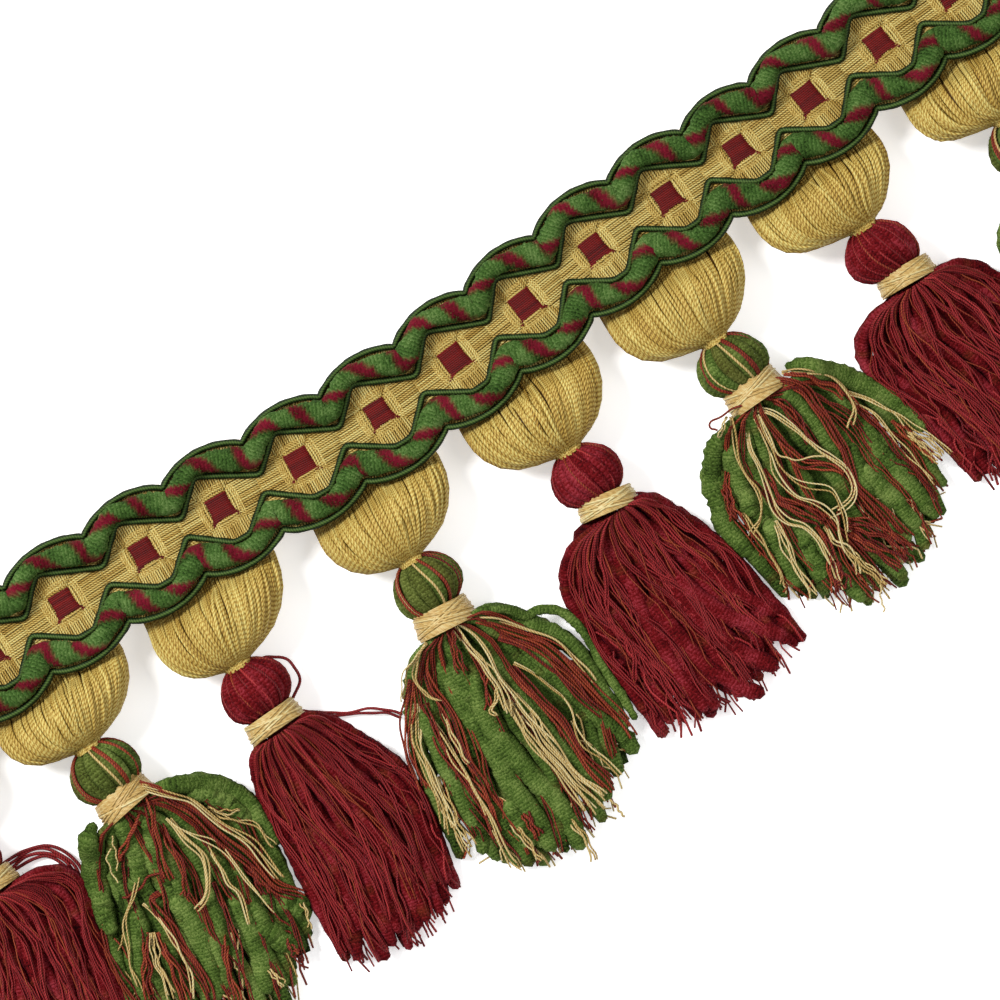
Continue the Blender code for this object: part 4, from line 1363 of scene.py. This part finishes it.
def layByHand(bundle, unit, chance, laid):
    for radius, *places in laid.get("chenille", ()):
        route = smoothLine(inPicture(places), 4 * len(places) + 6)
        rings = len(route)
        steps = np.linspace(0, 1, rings)
        route = route + acrossLine(route) * wandering(chance, steps, 0.25, (3.0,))[:, None]
        thick = radius * mix(0.3, 1.0, np.clip(steps / 0.2, 0, 1) ** 0.7)
        thick = thick * (1 + 0.06 * chance.normal(0, 1, rings))
        thick = thick * mix(1.0, 0.7, np.clip((steps - 0.92) / 0.08, 0, 1))
        sunk = 2.4 * np.clip(1 - steps / 0.14, 0, 1)
        height = skirtTopAt(unit, route) - 0.85 * thick + 0.3 * chance.random() - sunk
        tint = np.clip(chance.uniform(0.4, 0.8) + 0.2 * ripple(chance, steps, 2.5), 0, 1)
        line = np.column_stack((route, height))
        ring = addStrand(bundle, line, thick, 10, tint=tint, slot=pileSlot, flat=0.85, rough=0.1,
                         chance=chance)
        addTufts(bundle, ring, line, int(rings * 4.5), 0.6, chance, slot=pileSlot, thick=0.1)
    for kind, slot, size, lift, spread in handThreads:
        for plies, *places in laid.get(kind, ()):
            route = smoothLine(inPicture(places), 3 * len(places) + 6)
            rings = len(route)
            steps = np.linspace(0, 1, rings)
            sideways = acrossLine(route)
            fan = mix(0.8, 1.25, steps) * (1 + 0.25 * ripple(chance, steps, 1.3))
            for ply in range(plies):
                shift = (ply - (plies - 1) / 2) * spread * fan + wandering(chance, steps, 0.26, (1.1, 2.7))
                own = route + sideways * shift[:, None]
                # it comes up from among the other strands and dips in between them again
                first = chance.uniform(0.0, 0.14) if plies > 1 else 0.0
                sunk = 1.5 * np.clip(1 - (steps - first) / 0.1, 0, 1) if plies > 1 else 0.0
                dip = 0.5 * np.clip(ripple(chance, steps, chance.uniform(0.8, 1.6)) * 2 - 1.2, 0, 1)
                height = skirtTopAt(unit, own) + size + lift - sunk - dip + 0.25 * chance.random()
                height = height + wandering(chance, steps, 0.08, (3.1,))
                kept = max(6, int(rings * (1 - 0.1 * chance.random()))) if plies > 1 else rings
                own, height = own[:kept], height[:kept]
                line = np.column_stack((own, height))
                addStrand(bundle, line, size * chance.uniform(0.85, 1.15), 4, slot=slot,
                          tint=anyTint(chance, 0.45, 0.25), phase=chance.uniform(0, 1))
    for plies, radius, low, *places in laid.get("stray", ()):
        # lies beside the skirt, on the table
        route = smoothLine(inPicture(places), 4 * len(places) + 6)
        steps = np.linspace(0, 1, len(route))
        for ply in range(plies):
            shift = (ply - (plies - 1) / 2) * 2.1 * radius + wandering(chance, steps, 0.15, (1.2, 2.9))
            own = route + acrossLine(route) * shift[:, None]
            height = mix(5.5, low, np.clip(steps * 3, 0, 1) ** 0.7) + radius * (1 + 0.6 * (ply % 2))
            addStrand(bundle, np.column_stack((own, height)), radius, 6, slot=fineSlot,
                      tint=chance.uniform(0.2, 0.6))


# threads over and in the skirts; those after "beside" go only where strands are listed one by one, those after
# "instead" only where none are
tasselKinds = {
    "green": {
        "materials": (greenPile, rustThread, creamThread), "slot": "mixed_green_yarn",
        "lobes": 15, "lobesRound": 24, "flecking": 0.25, "shorter": 0.0,
        "headThreads": (
            (rustSlot, (-60, 20, 150, 230), 3), (rustSlot, (58, 100), 2),
            (fineSlot, (-46, 10, 125, 200), 1),
        ),
        "beside": (
            {"slot": rustSlot, "count": 8, "plies": 3, "radius": 0.2, "layers": (0.8, 1.0),
             "crossing": 0.12, "reaches": (0.9, 1.03), "tint": 0.35},
        ),
        "instead": (
            {"slot": rustSlot, "count": 7, "plies": 5, "radius": 0.24, "crossing": 0.22, "spread": 0.026},
            {"slot": fineSlot, "count": 7, "plies": 3, "radius": 0.2, "layers": (1.0, 1.12), "tint": 0.6},
        ),
        "always": (
            {"slot": rustSlot, "count": 34, "plies": 1, "radius": 0.24, "layers": (-0.9, 0.9),
             "starts": (0.5, 0.7), "reaches": (0.96, 1.05), "rings": 10},
            {"slot": fineSlot, "count": 44, "plies": 1, "radius": 0.22, "layers": (-0.9, 0.9),
             "starts": (0.5, 0.7), "reaches": (0.96, 1.06), "rings": 10},
        ),
    },
    "red": {
        "materials": (redPile, rustThread, plumThread), "slot": "burgundy_yarn",
        "lobes": 22, "lobesRound": 31, "flecking": 0.3, "shorter": 0.02,
        "headThreads": (
            (rustSlot, (-20, 66, 200), 1), (fineSlot, (-62, -40, -8, 12, 34, 80, 150, 240), 1),
        ),
        "beside": (), "instead": (),
        "always": (
            {"slot": rustSlot, "count": 16, "plies": 1, "radius": 0.15, "crossing": 0.2, "tint": 0.65},
            {"slot": fineSlot, "count": 19, "plies": 3, "radius": 0.19, "crossing": 0.2, "spread": 0.026},
            {"slot": fineSlot, "count": 84, "plies": 1, "radius": 0.26, "layers": (-0.9, 1.0),
             "starts": (0.4, 0.66), "reaches": (0.95, 1.05), "rings": 10},
        ),
    },
}


def buildTassel(unit, seed):
    chance = np.random.default_rng(seed)
    bundle = newBundle()
    yarn = tasselKinds[unit["kind"]]
    laid = laidByHand.get(unit["name"])
    buildHead(bundle, unit, chance, yarn)
    buildSkirt(bundle, unit, chance, yarn["flecking"], yarn["shorter"])
    for threads in yarn["beside" if laid else "instead"]:
        layThreads(bundle, unit, chance, **threads)
    if laid:
        layByHand(bundle, unit, chance, laid)
    for threads in yarn["always"]:
        layThreads(bundle, unit, chance, **threads)
    finishBundle("tassel_yarn_" + unit["name"], bundle, list(yarn["materials"]),
                 replaced=["tassel_" + unit["name"]])


collarWrap = {
    "outer": {"red": 6.0, "green": 6.2}, "half": {"red": 2.15, "green": 2.7},
    "thread": 0.24, "pitch": 0.29, "crossings": 8, "height": 6.7, "bands": (-0.65, -0.22, 0.22, 0.65),
    # some collars sit a little askew; degrees
    "askew": {"red_3": -12.0, "green_2": -8.0, "green_1": 7.0, "red_4": -5.0},
}


def turnedCollar(unit, points):
    askew = math.radians(collarWrap["askew"].get(unit["name"], 0.0))
    x, y, z = np.asarray(points, float).T
    return np.column_stack((
        unit["collarX"] + x * math.cos(askew) - y * math.sin(askew),
        unit["collarY"] + x * math.sin(askew) + y * math.cos(askew), collarWrap["height"] + z,
    ))


def collarTurn(unit, turns, along):
    outer, half = collarWrap["outer"][unit["kind"]], collarWrap["half"][unit["kind"]]
    swell = outer - 0.15 * along - 0.28 * (np.abs(along) / half) ** 4 - collarWrap["thread"] * 0.6
    line = turnedCollar(unit, np.column_stack((swell * np.sin(turns), along, swell * np.cos(turns))))
    return line, outward(turns)


def buildCollar(unit, seed):
    chance = np.random.default_rng(seed)
    bundle = newBundle()
    half = collarWrap["half"][unit["kind"]]
    wraps = round(2 * half / collarWrap["pitch"])
    turns = np.linspace(np.pi, np.pi + wraps * 2 * np.pi, wraps * 22)
    along = np.linspace(-half + 0.2, half - 0.2, len(turns)) + 0.12 * np.cos(turns)
    line, out = collarTurn(unit, turns, along)
    marks = np.arange(turns[0], turns[-1] + 4, 0.9)
    tint = np.interp(turns, marks, np.clip(chance.normal(0.5, 0.16, len(marks)), 0, 1))
    addStrand(bundle, line, collarWrap["thread"], 4, tint=tint, away=out, phase=np.pi / 4)
    # the last turns cross the others slantwise
    for crossing in range(collarWrap["crossings"]):
        ring = np.linspace(0, 2 * np.pi * 33 / 32, 34) + np.pi
        slope = chance.uniform(0.35, 0.75) * half * (-1) ** crossing
        along = np.clip(chance.uniform(-0.5, 0.5) * half + slope * np.sin(ring), -half + 0.15, half - 0.15)
        line, out = collarTurn(unit, ring, along)
        addStrand(bundle, line + 0.2 * out, collarWrap["thread"], 4, tint=chance.uniform(0.2, 1.0),
                  away=out, phase=np.pi / 4)
    # the wound thread lies on a band, closed end to end inside itself and painted dark as shade under the
    # wraps
    ring = np.linspace(0, 2 * np.pi * 41 / 40, 42) + np.pi
    inside = collarWrap["outer"][unit["kind"]] - 0.92
    for share in collarWrap["bands"]:
        band = turnedCollar(unit, inside * outward(ring) + np.array((0.0, share * half, 0.0)))
        addStrand(bundle, band, 0.55, 6, tint=0.1, away=outward(ring), mapped=0.0)
    finishBundle("collar_wrap_" + unit["name"], bundle, [goldWrap],
                 replaced=["collar_" + unit["name"]])


for number, unit in enumerate(hangings.values()):
    buildTassel(unit, 200 + number)
    buildCollar(unit, 300 + number)
print("tassels are bound")
